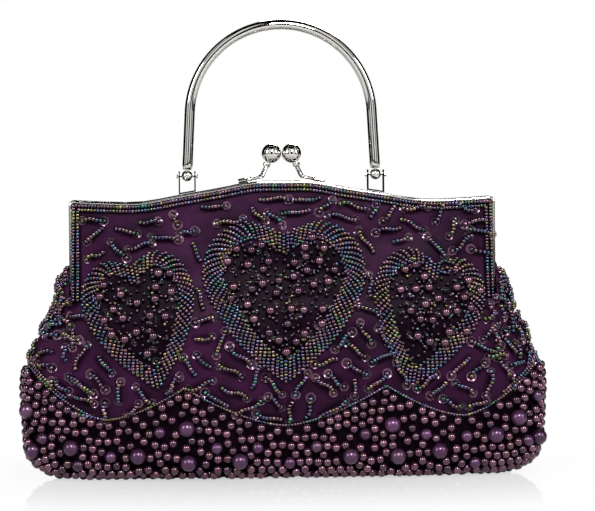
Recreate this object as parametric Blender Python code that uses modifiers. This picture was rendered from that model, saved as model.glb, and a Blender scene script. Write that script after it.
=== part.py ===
"""A beaded evening handbag with a metal snap frame and a hinged top handle.

The bag stands on its beaded base with its front towards -Y and its width along X.
A frame in two halves opens about one line through the rivets at its leg ends. Each
half carries the upper part of its satin panel and lining. Below that line hangs the
sack: satin panels, lining, a stiff base board and a thick band of sewn pearls. Lengths
are in metres.
"""

import math

import bmesh
import bpy
import numpy as np
from mathutils import Matrix, Vector

# Gaps
GAP = 0.0003
SEAM_HALF_GAP = 0.0003
OVERRUN = 0.002

# Sack below the hinge line
BAND_WIDTH = 0.279
BAND_DEPTH = 0.056
HINGE_HEIGHT = 0.094
PEARL_LAYER = 0.004
SATIN_THICKNESS = 0.001
LINING_THICKNESS = 0.0008
LINING_GAP = 0.0006
BOARD_THICKNESS = 0.0012
BOARD_END_MARGIN = 0.0252
BOARD_SIDE_MARGIN = 0.0102
BASE_CORNER_X = 0.020
BASE_CORNER_Y = 0.009
BASE_CORNER_Z = 0.014
END_PUFF_RISE = 0.014
END_PUFF_HALF_DEPTH = 0.011
SECTION_POWER = 3.5

# Height over the hinge height, then half-width and half-depth over their largest
SACK_SECTION_SHARES = (
    (0.195, 0.990, 0.985),
    (0.400, 0.997, 1.000),
    (0.520, 1.000, 1.000),
    (0.690, 0.980, 0.985),
    (0.780, 0.960, 0.965),
    (0.830, 0.945, 0.950),
    (0.895, 0.912, 0.943),
    (1.000, 0.867, 0.930),
    (1.170, 0.845, 0.905),
)

# Slip pocket on the back lining
POCKET_HALF_WIDTH = 0.045
POCKET_BOTTOM = 0.040
POCKET_TOP = 0.078
POCKET_THICKNESS = 0.0006

# Pearl band and its scalloped top edge
SCALLOP_MIDDLE_LOW = 0.0273
SCALLOP_CUSP_SHARE = 0.391
SCALLOP_CUSP_HEIGHT = 0.0475
SCALLOP_SIDE_SHARE = 0.695
SCALLOP_SIDE_LOW = 0.0312
SCALLOP_END_HEIGHT = 0.060
SCALLOP_POWER = 1.6
STRAND_WIDTH = 0.002
STRAND_GAP = 0.0018
STRAND_THICKNESS = 0.0018
LARGE_PEARL_RADIUS = 0.0042
MEDIUM_PEARL_RADIUS = 0.0031
PEARL_PITCH = 0.0066
PEARL_ROW_PITCH = 0.0046
PEARL_VALLEY = 0.0022
PEARL_CORNER_ROWS = 5
PEARL_EDGE_MARGIN = 0.0022
PEARL_SPACE = 0.0012

# Large pearls of one face: place over the band's half-width, height over the hinge height
LARGE_PEARL_SHARES = (
    (-0.972, 0.391),
    (-0.940, 0.190),
    (-0.806, 0.189),
    (-0.555, 0.143),
    (-0.372, 0.292),
    (-0.366, 0.104),
    (-0.173, 0.112),
    (0.243, 0.127),
    (0.400, 0.301),
    (0.420, 0.122),
    (0.578, 0.150),
    (0.793, 0.231),
    (0.882, 0.323),
    (0.962, 0.207),
)

# Medium pearls of one face, in the same shares
MEDIUM_PEARL_SHARES = (
    (-0.913, 0.238),
    (-0.781, 0.091),
    (-0.657, 0.138),
    (-0.473, 0.273),
    (-0.260, 0.182),
    (-0.106, 0.182),
    (0.013, 0.095),
    (0.115, 0.183),
    (0.297, 0.249),
    (0.527, 0.242),
    (0.681, 0.227),
    (0.713, 0.085),
    (0.918, 0.192),
    (0.957, 0.440),
)

# Frame halves
LEG_CLEARANCE = 0.00471
SHOULDER_RISE = 0.053
CROWN_RISE = 0.009
FRAME_RIM = 0.0016
FRAME_DEPTH = 0.0063
PARTING_HALF_GAP = 0.0002
FLANGE_HEIGHT = 0.008
FLANGE_THICKNESS = 0.001
FRAME_CORNER_RADIUS = 0.0025
LUG_RADIUS = 0.0034
LUG_THICKNESS = 0.0014
LUG_JOG_HEIGHT = 0.003
LUG_SHANK_EDGE = 0.0005
RIVET_RADIUS = 0.0009
RIVET_HEAD_RADIUS = 0.002
RIVET_HEAD_HEIGHT = 0.0016

# Distance from the middle over the half-width, then rise over the crown's rise
FRAME_TOP_SHARES = (
    (0.00, 1.00),
    (0.13, 0.98),
    (0.29, 0.62),
    (0.47, 0.25),
    (0.67, -0.15),
    (0.85, -0.11),
    (1.00, 0.00),
)

# Panels and lining carried by the frame
PANEL_SETBACK = 0.0005
PANEL_BULGE = 0.010
PANEL_POWER = 2.2
PANEL_THICKNESS = 0.0012
BORDER_WIDTH = 0.0036

# Hearts of seed beads
HEART_THICKNESS = 0.0015
RIBBON_LIFT = 0.0005
MIDDLE_HEART_CLEARANCE = 0.0232
MIDDLE_HEART_RISE = 0.0405
MIDDLE_HEART_WIDTH_SHARE = 0.378
SIDE_HEART_TIP_SHARE = 0.587
SIDE_HEART_CLEARANCE = 0.0077
SIDE_HEART_RISE = 0.0245
SIDE_HEART_WIDTH_SHARE = 0.258
SIDE_HEART_SWAY_SHARE = 0.1323

# Half outlines from notch to tip, over the heart's half-width and height
HEART_OUTER_SHARES = (
    (0.00, 0.926),
    (0.24, 0.970),
    (0.46, 1.000),
    (0.71, 0.955),
    (0.89, 0.872),
    (0.98, 0.765),
    (1.00, 0.655),
    (0.94, 0.549),
    (0.85, 0.460),
    (0.60, 0.274),
    (0.29, 0.124),
    (0.00, 0.000),
)
HEART_INNER_SHARES = (
    (0.00, 0.805),
    (0.20, 0.866),
    (0.39, 0.902),
    (0.58, 0.862),
    (0.70, 0.790),
    (0.75, 0.725),
    (0.76, 0.655),
    (0.71, 0.583),
    (0.62, 0.504),
    (0.42, 0.335),
    (0.20, 0.215),
    (0.00, 0.150),
)

# Kiss-lock clasp
CLASP_BALL_RADIUS = 0.00515
CLASP_BALL_GAP = 0.0003
CLASP_BALL_RISE = 0.0145
CLASP_PLATE_INNER_X = 0.0124
CLASP_PLATE_OUTER_X = 0.0227
CLASP_PLATE_THICKNESS = 0.0018
CLASP_PLATE_DEPTH = 0.0050
CLASP_ARM_RADIUS = 0.0012
CLASP_COLLAR_RADIUS = 0.0021
CLASP_COLLAR_HEIGHT = 0.0016

# Handle and its brackets
HANDLE_REACH = 0.0824
HANDLE_HALF_SPAN = 0.050
HANDLE_SPLAY = math.radians(3.0)
HANDLE_TUBE_RADIUS = 0.0027
HANDLE_TUBE_WALL = 0.0007
HANDLE_PIVOT_RISE = 0.0093
HANDLE_BALL_RADIUS = 0.00295
HANDLE_SPIGOT_LENGTH = 0.004
PIN_RADIUS = 0.0006
PIN_HEAD_RADIUS = 0.0013
PIN_HEAD_THICKNESS = 0.0008
BRACKET_WIDTH = 0.009
BRACKET_DEPTH = 0.005
BRACKET_STRIP = 0.0007
BRACKET_TIP = 0.0025

# Mesh fineness
FACE_COLUMNS = 22
WALL_SHARES = (0.25, 0.5, 0.72, 0.92)
PANEL_COLUMNS = 20
PANEL_ROWS = 6
RIBBON_ROWS = 3
HEART_TOP_STEPS = 11
HEART_POINT_STEPS = 7
TUBE_ARC_STEPS = 20
ROUND_SIDES = 16
PEARL_SIDES = 8
PEARL_RINGS = 5

SHOULDER_HEIGHT = HINGE_HEIGHT + SHOULDER_RISE
CROWN_HEIGHT = SHOULDER_HEIGHT + CROWN_RISE
CLASP_BALL_HEIGHT = CROWN_HEIGHT + CLASP_BALL_RISE
SCALLOP_CUSP_X = BAND_WIDTH / 2 * SCALLOP_CUSP_SHARE
SCALLOP_SIDE_X = BAND_WIDTH / 2 * SCALLOP_SIDE_SHARE
FRAME_OUTER_Y = PARTING_HALF_GAP + FRAME_DEPTH
FRAME_MIDDLE_Y = PARTING_HALF_GAP + FRAME_DEPTH / 2
BAND_OFFSET = PEARL_LAYER + GAP
SATIN_HALF_WIDTH = BAND_WIDTH / 2 - BAND_OFFSET
HALF_FRAME = SATIN_HALF_WIDTH * SACK_SECTION_SHARES[-2][1] - LEG_CLEARANCE
SATIN_HALF_DEPTH = BAND_DEPTH / 2 - BAND_OFFSET
LINING_INSET = SATIN_THICKNESS + LINING_GAP
LINING_FLOOR_INSET = SATIN_THICKNESS + BOARD_THICKNESS + 2 * GAP
POCKET_INSET = LINING_INSET + LINING_THICKNESS + GAP
PANEL_HALF_WIDTH = HALF_FRAME - FRAME_RIM - GAP
PANEL_EDGE_Y = FRAME_OUTER_Y - PANEL_SETBACK
PANEL_TOP_INSET = FRAME_RIM + GAP
PANEL_FOOT = HINGE_HEIGHT + GAP
CLASP_BALL_X = CLASP_BALL_RADIUS + CLASP_BALL_GAP / 2
LUG_CLEAR_HEIGHT = HINGE_HEIGHT + LUG_RADIUS + 2 * GAP
HOLE_RADIUS = RIVET_RADIUS + GAP

FRONT = -1.0
BACK = 1.0


def clear_scene():
    """Empty the scene and drop unused meshes."""
    for old in list(bpy.data.objects):
        bpy.data.objects.remove(old, do_unlink=True)


def make_collection(name):
    """A collection linked to the scene."""
    found = bpy.data.collections.get(name)
    if found is None:
        found = bpy.data.collections.new(name)
        bpy.context.scene.collection.children.link(found)
    return found


def material(name, colour, roughness, metallic=0.0):
    """A plain Principled finish."""
    finish = bpy.data.materials.new(name)
    finish.use_nodes = True
    shader = finish.node_tree.nodes["Principled BSDF"]
    shader.inputs["Base Color"].default_value = (*colour, 1.0)
    shader.inputs["Roughness"].default_value = roughness
    shader.inputs["Metallic"].default_value = metallic
    return finish


def add_object(name, mesh, finish=None):
    """An object in the parts collection, smooth where its faces meet gently."""
    obj = bpy.data.objects.new(name, mesh)
    PARTS.objects.link(obj)
    mesh.shade_smooth()
    mesh.set_sharp_from_angle(angle=math.radians(40.0))
    if finish is not None:
        mesh.materials.clear()
        mesh.materials.append(finish)
    return obj


def evaluated_mesh(obj):
    """The mesh of an object with its curve settings and modifiers worked in."""
    bpy.context.view_layer.update()
    graph = bpy.context.evaluated_depsgraph_get()
    return bpy.data.meshes.new_from_object(obj.evaluated_get(graph))


def weld(mesh):
    """Merge doubled points and turn all faces outwards."""
    work = bmesh.new()
    work.from_mesh(mesh)
    bmesh.ops.remove_doubles(work, verts=work.verts, dist=1e-6)
    bmesh.ops.recalc_face_normals(work, faces=work.faces)
    work.to_mesh(mesh)
    work.free()
    return mesh


def freeze(obj, matrix=None):
    """Turn an object's evaluated shape into its own mesh, placed in the world."""
    mesh = weld(evaluated_mesh(obj))
    mesh.transform(matrix if matrix is not None else obj.matrix_world)
    name = obj.name
    bpy.data.objects.remove(obj, do_unlink=True)
    return add_object(name, mesh)


def combine(obj, tool, operation):
    """Cut, join or intersect obj with tool, which is used up."""
    step = obj.modifiers.new(operation.lower(), "BOOLEAN")
    step.operation = operation
    step.solver = "EXACT"
    step.object = tool
    mesh = evaluated_mesh(obj)
    obj.modifiers.clear()
    obj.data = mesh
    mesh.shade_smooth()
    mesh.set_sharp_from_angle(angle=math.radians(40.0))
    bpy.data.objects.remove(tool, do_unlink=True)
    return obj


def finish_with(obj, finish):
    """Give an object its only material."""
    obj.data.materials.clear()
    obj.data.materials.append(finish)
    return obj


def prism(name, outline, thickness, plane):
    """A flat outline given thickness, centred on its plane.

    plane is "XZ" (thickness along Y), "YZ" (thickness along X) or "XY" (thickness along Z).
    """
    curve = bpy.data.curves.new(name, "CURVE")
    curve.dimensions = "2D"
    curve.fill_mode = "BOTH"
    curve.extrude = thickness / 2
    spline = curve.splines.new("POLY")
    spline.points.add(len(outline) - 1)
    for point, (across, up) in zip(spline.points, outline):
        point.co = (across, up, 0.0, 1.0)
    spline.use_cyclic_u = True
    obj = bpy.data.objects.new(name, curve)
    PARTS.objects.link(obj)
    turns = {
        "XY": Matrix.Identity(4),
        "XZ": Matrix.Rotation(math.radians(90.0), 4, "X"),
        "YZ": Matrix.Rotation(math.radians(90.0), 4, "Z") @ Matrix.Rotation(math.radians(90.0), 4, "X"),
    }
    return freeze(obj, turns[plane])


def shift(obj, x=0.0, y=0.0, z=0.0):
    """Move an object's mesh."""
    obj.data.transform(Matrix.Translation((x, y, z)))
    return obj


def rod(name, start, end, radius, sides=ROUND_SIDES):
    """A straight cylinder between two points."""
    start = Vector(start)
    run = Vector(end) - start
    work = bmesh.new()
    bmesh.ops.create_cone(
        work, cap_ends=True, segments=sides, radius1=radius, radius2=radius, depth=run.length
    )
    mesh = bpy.data.meshes.new(name)
    work.to_mesh(mesh)
    work.free()
    turn = run.to_track_quat("Z", "Y").to_matrix().to_4x4()
    mesh.transform(Matrix.Translation(start + run / 2) @ turn)
    return add_object(name, mesh)


def ball(name, centre, radius, columns=ROUND_SIDES, rings=10):
    """A sphere."""
    work = bmesh.new()
    bmesh.ops.create_uvsphere(work, u_segments=columns, v_segments=rings, radius=radius)
    mesh = bpy.data.meshes.new(name)
    work.to_mesh(mesh)
    work.free()
    mesh.transform(Matrix.Translation(centre))
    return add_object(name, mesh)


def tube(name, points, radius, resolution=4, closed_ends=True):
    """A round tube or bar along a chain of points."""
    curve = bpy.data.curves.new(name, "CURVE")
    curve.dimensions = "3D"
    curve.bevel_depth = radius
    curve.bevel_resolution = resolution
    curve.use_fill_caps = closed_ends
    spline = curve.splines.new("POLY")
    spline.points.add(len(points) - 1)
    for point, place in zip(spline.points, points):
        point.co = (*place, 1.0)
    obj = bpy.data.objects.new(name, curve)
    PARTS.objects.link(obj)
    return freeze(obj)


def sheet(name, grid, thickness, finish):
    """A curved sheet from a grid of points, with Solidify for its thickness on the inner side.

    grid is rows of points, each row from -X to +X and the rows going up the outer side.
    """
    rows, columns = len(grid), len(grid[0])
    points = [tuple(point) for row in grid for point in row]
    faces = []
    for row in range(rows - 1):
        for column in range(columns - 1):
            low = row * columns + column
            faces.append((low, low + 1, low + columns + 1, low + columns))
    mesh = bpy.data.meshes.new(name)
    mesh.from_pydata(points, [], faces)
    obj = add_object(name, mesh, finish)
    wall = obj.modifiers.new("wall", "SOLIDIFY")
    wall.thickness = thickness
    wall.offset = -1.0
    wall.use_even_offset = True
    return obj


def trim_at_seam(obj, side):
    """Work in the wall's thickness and keep all of it on its own side of the seam."""
    name, finish = obj.name, obj.data.materials[0]
    obj = freeze(obj)
    for vertex in obj.data.vertices:
        vertex.co.y = side * max(side * vertex.co.y, SEAM_HALF_GAP)
    obj.name = name
    return finish_with(obj, finish)


def turned_to(side, grid):
    """The front's grid of points, or the same grid turned to the back with its rows kept outward."""
    if side == FRONT:
        return grid
    return [[(-x, -y, z) for x, y, z in row] for row in grid]


def smooth_value(place, table, column):
    """A value between the rows of a table, on a curve that passes through each of them."""
    places = np.array([row[0] for row in table])
    values = np.array([row[column] for row in table])
    slopes = np.gradient(values, places)
    place = np.clip(place, places[0], places[-1])
    index = np.clip(np.searchsorted(places, place) - 1, 0, len(places) - 2)
    width = places[index + 1] - places[index]
    t = (place - places[index]) / width
    ease = t * t * (3 - 2 * t)
    bend = width * (slopes[index] * t * (1 - t) ** 2 - slopes[index + 1] * t * t * (1 - t))
    return values[index] * (1 - ease) + values[index + 1] * ease + bend


def frame_top(x):
    """Height of the frame's upper outer edge at a distance from the middle."""
    share = abs(x) / HALF_FRAME
    return SHOULDER_HEIGHT + (CROWN_HEIGHT - SHOULDER_HEIGHT) * float(
        smooth_value(share, FRAME_TOP_SHARES, 1)
    )


def frame_path(inset, foot, steps=24):
    """The frame's outline from the left foot over the top to the right foot, moved inwards."""
    side = HALF_FRAME - inset
    radius = max(FRAME_CORNER_RADIUS - inset, GAP)
    bend_x = side - radius
    bend_z = frame_top(bend_x) - inset - radius
    right = [(side, foot)]
    for step in range(4):
        turn = math.radians(30.0) * step
        right.append((bend_x + radius * math.cos(turn), bend_z + radius * math.sin(turn)))
    half = steps // 2
    for step in range(1, half + 1):
        x = bend_x * (1 - step / half)
        right.append((x, frame_top(x) - inset))
    left = [(-x, z) for x, z in right[:-1]]
    return left + right[::-1]


def sack_section(height, inset=0.0, floor_inset=0.0):
    """Half-width and half-depth of the satin's outer face at a height, less an inset.

    The base corner is a quarter ellipse that the inset moves with it.
    """
    share = height / HINGE_HEIGHT
    width = SATIN_HALF_WIDTH * smooth_value(share, SACK_SECTION_SHARES, 1) - inset
    depth = SATIN_HALF_DEPTH * smooth_value(share, SACK_SECTION_SHARES, 2) - inset
    base = BAND_OFFSET + floor_inset
    corner_z = BAND_OFFSET + BASE_CORNER_Z - base
    drop = np.clip((base + corner_z - height) / corner_z, 0.0, 1.0)
    round_off = 1 - np.sqrt(1 - drop**2)
    width = width - (BASE_CORNER_X - inset) * round_off
    depth = depth - (BASE_CORNER_Y - inset) * round_off
    return width, depth


def scallop_height(x):
    """Height of the pearl band's upper edge: a swag in the middle and one at each side."""
    x = abs(x)
    if x < SCALLOP_CUSP_X:
        rise = SCALLOP_CUSP_HEIGHT - SCALLOP_MIDDLE_LOW
        return SCALLOP_MIDDLE_LOW + rise * (x / SCALLOP_CUSP_X) ** SCALLOP_POWER
    if x < SCALLOP_SIDE_X:
        rise = SCALLOP_CUSP_HEIGHT - SCALLOP_SIDE_LOW
        span = SCALLOP_SIDE_X - SCALLOP_CUSP_X
        return SCALLOP_SIDE_LOW + rise * ((SCALLOP_SIDE_X - x) / span) ** SCALLOP_POWER
    rise = SCALLOP_END_HEIGHT - SCALLOP_SIDE_LOW
    span = BAND_WIDTH / 2 - SCALLOP_SIDE_X
    return SCALLOP_SIDE_LOW + rise * min(1.0, (x - SCALLOP_SIDE_X) / span) ** SCALLOP_POWER


def lining_rim(x, y):
    """Height of the lining's rim: the satin's last row below the hinge line.

    The frame halves turn down past it when they open.
    """
    start = BAND_OFFSET + BASE_CORNER_Z
    return start + (HINGE_HEIGHT - start) * WALL_SHARES[-1]


def band_rim(x, y):
    """Height of the pearl band's rim."""
    return scallop_height(x)


def puff_height(x, y):
    """Height of the satin's rim, which puffs up outside the frame's legs at each end."""
    share = min(1.0, abs(y) / END_PUFF_HALF_DEPTH)
    return HINGE_HEIGHT + END_PUFF_RISE * math.cos(math.pi / 2 * share) ** 2


def oval_point(turn, width, depth):
    """A point of the front half of a rounded oval section, for a turn of -90 to 90 degrees."""
    across = math.sin(turn)
    out = max(0.0, 1 - abs(across) ** SECTION_POWER) ** (1 / SECTION_POWER)
    return width * across, -(SEAM_HALF_GAP + depth * out)


def sack_grid(inset, floor_inset, rim, wall_shares, columns=FACE_COLUMNS):
    """Rows of points of the sack's front half: base seam, flat base, corner, then the wall.

    rim gives the height of each column's top from its place on the widest section, and
    the rows below it keep level with those of the other layers.
    """
    base = BAND_OFFSET + floor_inset
    corner_z = BAND_OFFSET + BASE_CORNER_Z - base
    turns = np.linspace(-math.pi / 2, math.pi / 2, columns)
    width, depth = sack_section(base, inset, floor_inset)
    reach = width - BASE_CORNER_Y / 2
    grid = [[(reach * math.sin(turn), -SEAM_HALF_GAP, base) for turn in turns]]
    for step in range(4):
        height = base + corner_z * (1 - math.cos(math.radians(30.0) * step))
        width, depth = sack_section(height, inset, floor_inset)
        grid.append([(*oval_point(turn, width, depth), height) for turn in turns])
    tops = []
    for turn in turns:
        width, depth = sack_section(HINGE_HEIGHT / 2, inset, floor_inset)
        x, y = oval_point(turn, width, depth)
        tops.append(rim(x, y))
    start = base + corner_z
    levels = [[min(top, HINGE_HEIGHT) for top in tops]] * len(wall_shares) + [tops]
    for share, level in zip((*wall_shares, 1.0), levels):
        row = []
        for turn, top in zip(turns, level):
            height = start + (top - start) * share
            width, depth = sack_section(height, inset, floor_inset)
            row.append((*oval_point(turn, width, depth), height))
        grid.append(row)
    return grid


def sack_surface(x, height, offset=0.0):
    """Depth of the sack's front face at a place, and its outward direction there."""

    def level(px, py, pz):
        width, depth = sack_section(pz, -offset, -offset)
        return abs(px / width) ** SECTION_POWER + abs(py / depth) ** SECTION_POWER

    width, depth = sack_section(height, -offset, -offset)
    out = max(0.0, 1 - abs(x / width) ** SECTION_POWER) ** (1 / SECTION_POWER)
    y = -depth * out
    step = GAP
    slope = Vector(
        (
            level(x + step, y, height) - level(x - step, y, height),
            level(x, y + step, height) - level(x, y - step, height),
            level(x, y, height + step) - level(x, y, height - step),
        )
    )
    return y - SEAM_HALF_GAP, slope.normalized()


def sack_depth(x, height):
    """Depth of the satin's front face below the hinge line."""
    return sack_surface(x, height)[0]


def panel_depth(x, height, inset=0.0):
    """Depth of the upper panel's front face: at the frame's edge, then swelling to its foot."""
    top = frame_top(x) - PANEL_TOP_INSET
    down = (top - height) / (top - PANEL_FOOT)
    half = PANEL_HALF_WIDTH - inset
    out = max(0.0, 1 - min(1.0, abs(x / half)) ** PANEL_POWER) ** (1 / PANEL_POWER)
    return -(PANEL_EDGE_Y - inset + PANEL_BULGE * out * down)


def panel_grid(inset):
    """Rows of points of an upper panel, foot first, closer together at the legs."""
    half = PANEL_HALF_WIDTH - inset
    grid = []
    for row in range(PANEL_ROWS):
        up = row / (PANEL_ROWS - 1)
        line = []
        for column in range(PANEL_COLUMNS):
            x = half * math.sin(math.pi * (column / (PANEL_COLUMNS - 1) - 0.5))
            top = frame_top(x) - PANEL_TOP_INSET
            height = PANEL_FOOT + (top - PANEL_FOOT) * up
            line.append((x, panel_depth(x, height, inset), height))
        grid.append(line)
    return grid


def curve_through(points, steps):
    """Points along a smooth curve through the given ones, evenly spread."""
    points = np.array(points, dtype=float)
    along = np.arange(len(points))
    tables = [np.column_stack((along, points[:, axis])) for axis in (0, 1)]
    fine = np.linspace(0, len(points) - 1, steps * 4)
    return np.column_stack([smooth_value(fine, table, 1) for table in tables])


def spread(points, count):
    """The same line with its points at even distances."""
    points = np.asarray(points)
    lengths = np.concatenate(([0.0], np.cumsum(np.linalg.norm(np.diff(points, axis=0), axis=1))))
    marks = np.linspace(0.0, lengths[-1], count)
    return np.column_stack([np.interp(marks, lengths, points[:, axis]) for axis in (0, 1)])


def heart_side(shares, mirror, tip, half_width, height, lean):
    """Half a heart's outline from notch to tip, in the front view."""
    local = curve_through(shares, 16) * (half_width * mirror, height)
    across = np.array((math.cos(lean), math.sin(lean)))
    up = np.array((-math.sin(lean), math.cos(lean)))
    return np.array(tip) + local[:, :1] * across + local[:, 1:] * up


def part_above(line, height):
    """The stretch of a line before it first passes below a height."""
    below = np.nonzero(line[:, 1] < height)[0]
    first = below[below > 3][0]
    share = (line[first - 1, 1] - height) / (line[first - 1, 1] - line[first, 1])
    cut = line[first - 1] + share * (line[first] - line[first - 1])
    return np.vstack((line[:first], cut))


def part_below(line, height):
    """The stretch of a line after it last passes below a height."""
    above = np.nonzero(line[:, 1] > height)[0][-1]
    share = (line[above, 1] - height) / (line[above, 1] - line[above + 1, 1])
    cut = line[above] + share * (line[above + 1] - line[above])
    return np.vstack((cut, line[above + 1 :]))


def ribbon_grid(outer, inner, depth_at, lift):
    """Rows of points over a surface from the outer line of a ribbon to its inner line."""
    grid = []
    for row in range(RIBBON_ROWS):
        share = row / (RIBBON_ROWS - 1)
        line = np.asarray(outer) * (1 - share) + np.asarray(inner) * share
        grid.append([(x, depth_at(x, z) - lift, z) for x, z in line])
    return grid


def loft(name, rings, finish=None):
    """A closed solid through rings of points, each ring with the same number of corners."""
    corners = len(rings[0])
    points = [tuple(point) for ring in rings for point in ring]
    faces = []
    for step in range(len(rings) - 1):
        low = step * corners
        high = low + corners
        for corner in range(corners):
            after = (corner + 1) % corners
            faces.append((low + corner, low + after, high + after, high + corner))
    last = (len(rings) - 1) * corners
    faces.append(tuple(range(corners - 1, -1, -1)))
    faces.append(tuple(range(last, last + corners)))
    mesh = bpy.data.meshes.new(name)
    mesh.from_pydata(points, [], faces)
    return add_object(name, weld(mesh), finish)


def ribbon_solid(name, grid, thickness, side, finish):
    """A raised ribbon over one face, between its outer and its inner line."""
    lines = [np.array(row) for row in turned_to(side, grid)]
    away = np.array((0.0, side * thickness, 0.0))
    rings = []
    for station in zip(*lines):
        rings.append(list(station) + [point + away for point in station[::-1]])
    return loft(name, rings, finish)


def hearts():
    """The place in the row, tip, half-width, height and lean of each heart in the front view."""
    tip_x = HALF_FRAME * SIDE_HEART_TIP_SHARE
    side_tip = scallop_height(tip_x) + SIDE_HEART_CLEARANCE
    side_height = HINGE_HEIGHT + SIDE_HEART_RISE - side_tip
    side_size = (HALF_FRAME * SIDE_HEART_WIDTH_SHARE, side_height)
    lean = math.atan(HALF_FRAME * SIDE_HEART_SWAY_SHARE / side_height)
    middle_tip = scallop_height(0.0) + MIDDLE_HEART_CLEARANCE
    middle_height = HINGE_HEIGHT + MIDDLE_HEART_RISE - middle_tip
    middle_size = (HALF_FRAME * MIDDLE_HEART_WIDTH_SHARE, middle_height)
    return (
        ("left", (-tip_x, side_tip), *side_size, lean),
        ("middle", (0.0, middle_tip), *middle_size, 0.0),
        ("right", (tip_x, side_tip), *side_size, -lean),
    )


def make_hearts(side, finish):
    """Each heart's top on the upper panel and its point on the sack."""
    name = "front" if side == FRONT else "back"
    for place, *heart in hearts():
        top = []
        point = []
        for shares in (HEART_OUTER_SHARES, HEART_INNER_SHARES):
            left = heart_side(shares, -1.0, *heart)
            right = heart_side(shares, 1.0, *heart)
            top_left = spread(part_above(left, PANEL_FOOT), HEART_TOP_STEPS)
            top_right = spread(part_above(right, PANEL_FOOT), HEART_TOP_STEPS)
            top.append(np.vstack((top_left[::-1], top_right[1:])))
            point_left = spread(part_below(left, HINGE_HEIGHT), HEART_POINT_STEPS)
            point_right = spread(part_below(right, HINGE_HEIGHT), HEART_POINT_STEPS)
            point.append(np.vstack((point_left, point_right[::-1][1:])))
        high = ribbon_grid(*top, panel_depth, RIBBON_LIFT)
        ribbon_solid(f"{name}_heart_top_{place}", high, HEART_THICKNESS, side, finish)
        low = ribbon_grid(*point, sack_depth, RIBBON_LIFT)
        ribbon_solid(f"{name}_heart_point_{place}", low, HEART_THICKNESS, side, finish)


def make_border(side, finish):
    """Two rows of seed beads side by side along the frame's rim, on the upper panel."""
    name = "front" if side == FRONT else "back"
    outer = frame_path(PANEL_TOP_INSET + GAP, PANEL_FOOT)
    inner = frame_path(PANEL_TOP_INSET + GAP + BORDER_WIDTH, PANEL_FOOT)
    grid = ribbon_grid(outer, inner, panel_depth, RIBBON_LIFT)
    ribbon_solid(f"{name}_border_strands", grid, STRAND_THICKNESS, side, finish)


def strand_height(turn):
    """Height of the band's edge straight out from the satin at one turn of the oval."""
    width, depth = sack_section(HINGE_HEIGHT / 2)
    x, y = oval_point(turn, width, depth)
    along = math.copysign(abs(x / width) ** (SECTION_POWER - 1) / width, x)
    away = abs(y / depth) ** (SECTION_POWER - 1) / depth
    return scallop_height(x + BAND_OFFSET * along / math.hypot(along, away))


def make_scallop_strand(side, finish):
    """The strand of seed beads along the pearl band's upper edge."""
    name = "front" if side == FRONT else "back"
    grid = []
    for row in range(RIBBON_ROWS):
        above = STRAND_GAP + STRAND_WIDTH * (1 - row / (RIBBON_ROWS - 1))
        line = []
        for step in range(1, 2 * FACE_COLUMNS - 2):
            turn = math.pi * (step / (2 * FACE_COLUMNS - 2) - 0.5)
            height = strand_height(turn) + above
            x, y = oval_point(turn, *sack_section(height))
            line.append((x, y - RIBBON_LIFT, height))
        grid.append(line)
    ribbon_solid(f"{name}_scallop_strand", grid, STRAND_THICKNESS, side, finish)


def make_sack(side, satin, lining):
    """One face of the sack: the satin panel and the lining inside it."""
    name = "front" if side == FRONT else "back"
    outer = sack_grid(0.0, 0.0, puff_height, WALL_SHARES)
    trim_at_seam(sheet(f"{name}_sack_panel", turned_to(side, outer), SATIN_THICKNESS, satin), side)
    inner = sack_grid(LINING_INSET, LINING_FLOOR_INSET, lining_rim, WALL_SHARES[:-1])
    trim_at_seam(sheet(f"{name}_sack_lining", turned_to(side, inner), LINING_THICKNESS, lining), side)


def even_turns():
    """Turns of the oval half a pearl pitch apart, measured along the band at its widest."""
    width, depth = sack_section(HINGE_HEIGHT / 2, -BAND_OFFSET, -BAND_OFFSET)
    fine = np.linspace(-math.pi / 2, math.pi / 2, 2001)
    line = np.array([oval_point(turn, width, depth) for turn in fine])
    lengths = np.concatenate(([0.0], np.cumsum(np.linalg.norm(np.diff(line, axis=0), axis=1))))
    count = 2 * round(lengths[-1] / PEARL_PITCH) + 1
    return np.interp(np.linspace(0.0, lengths[-1], count), lengths, fine)


def standing_pearls():
    """Centre and radius of each large and medium pearl of the front."""
    pearls = []
    for shares, radius in (
        (LARGE_PEARL_SHARES, LARGE_PEARL_RADIUS),
        (MEDIUM_PEARL_SHARES, MEDIUM_PEARL_RADIUS),
    ):
        for across, up in shares:
            x = across * BAND_WIDTH / 2
            height = up * HINGE_HEIGHT
            y, out = sack_surface(x, height, BAND_OFFSET)
            pearls.append((Vector((x, y, height)) + out * (radius - PEARL_LAYER), radius))
    return pearls


def skin_point(turn, row, level, offset):
    """A point of the band at a turn of the oval: a row of the base corner, or a height of the wall."""
    if row <= PEARL_CORNER_ROWS:
        rise = 1 - math.cos(math.pi / 2 * row / PEARL_CORNER_ROWS)
        level = BAND_OFFSET - offset + (BASE_CORNER_Z + offset) * rise
    return Vector((*oval_point(turn, *sack_section(level, -offset, -offset)), level))


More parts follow.
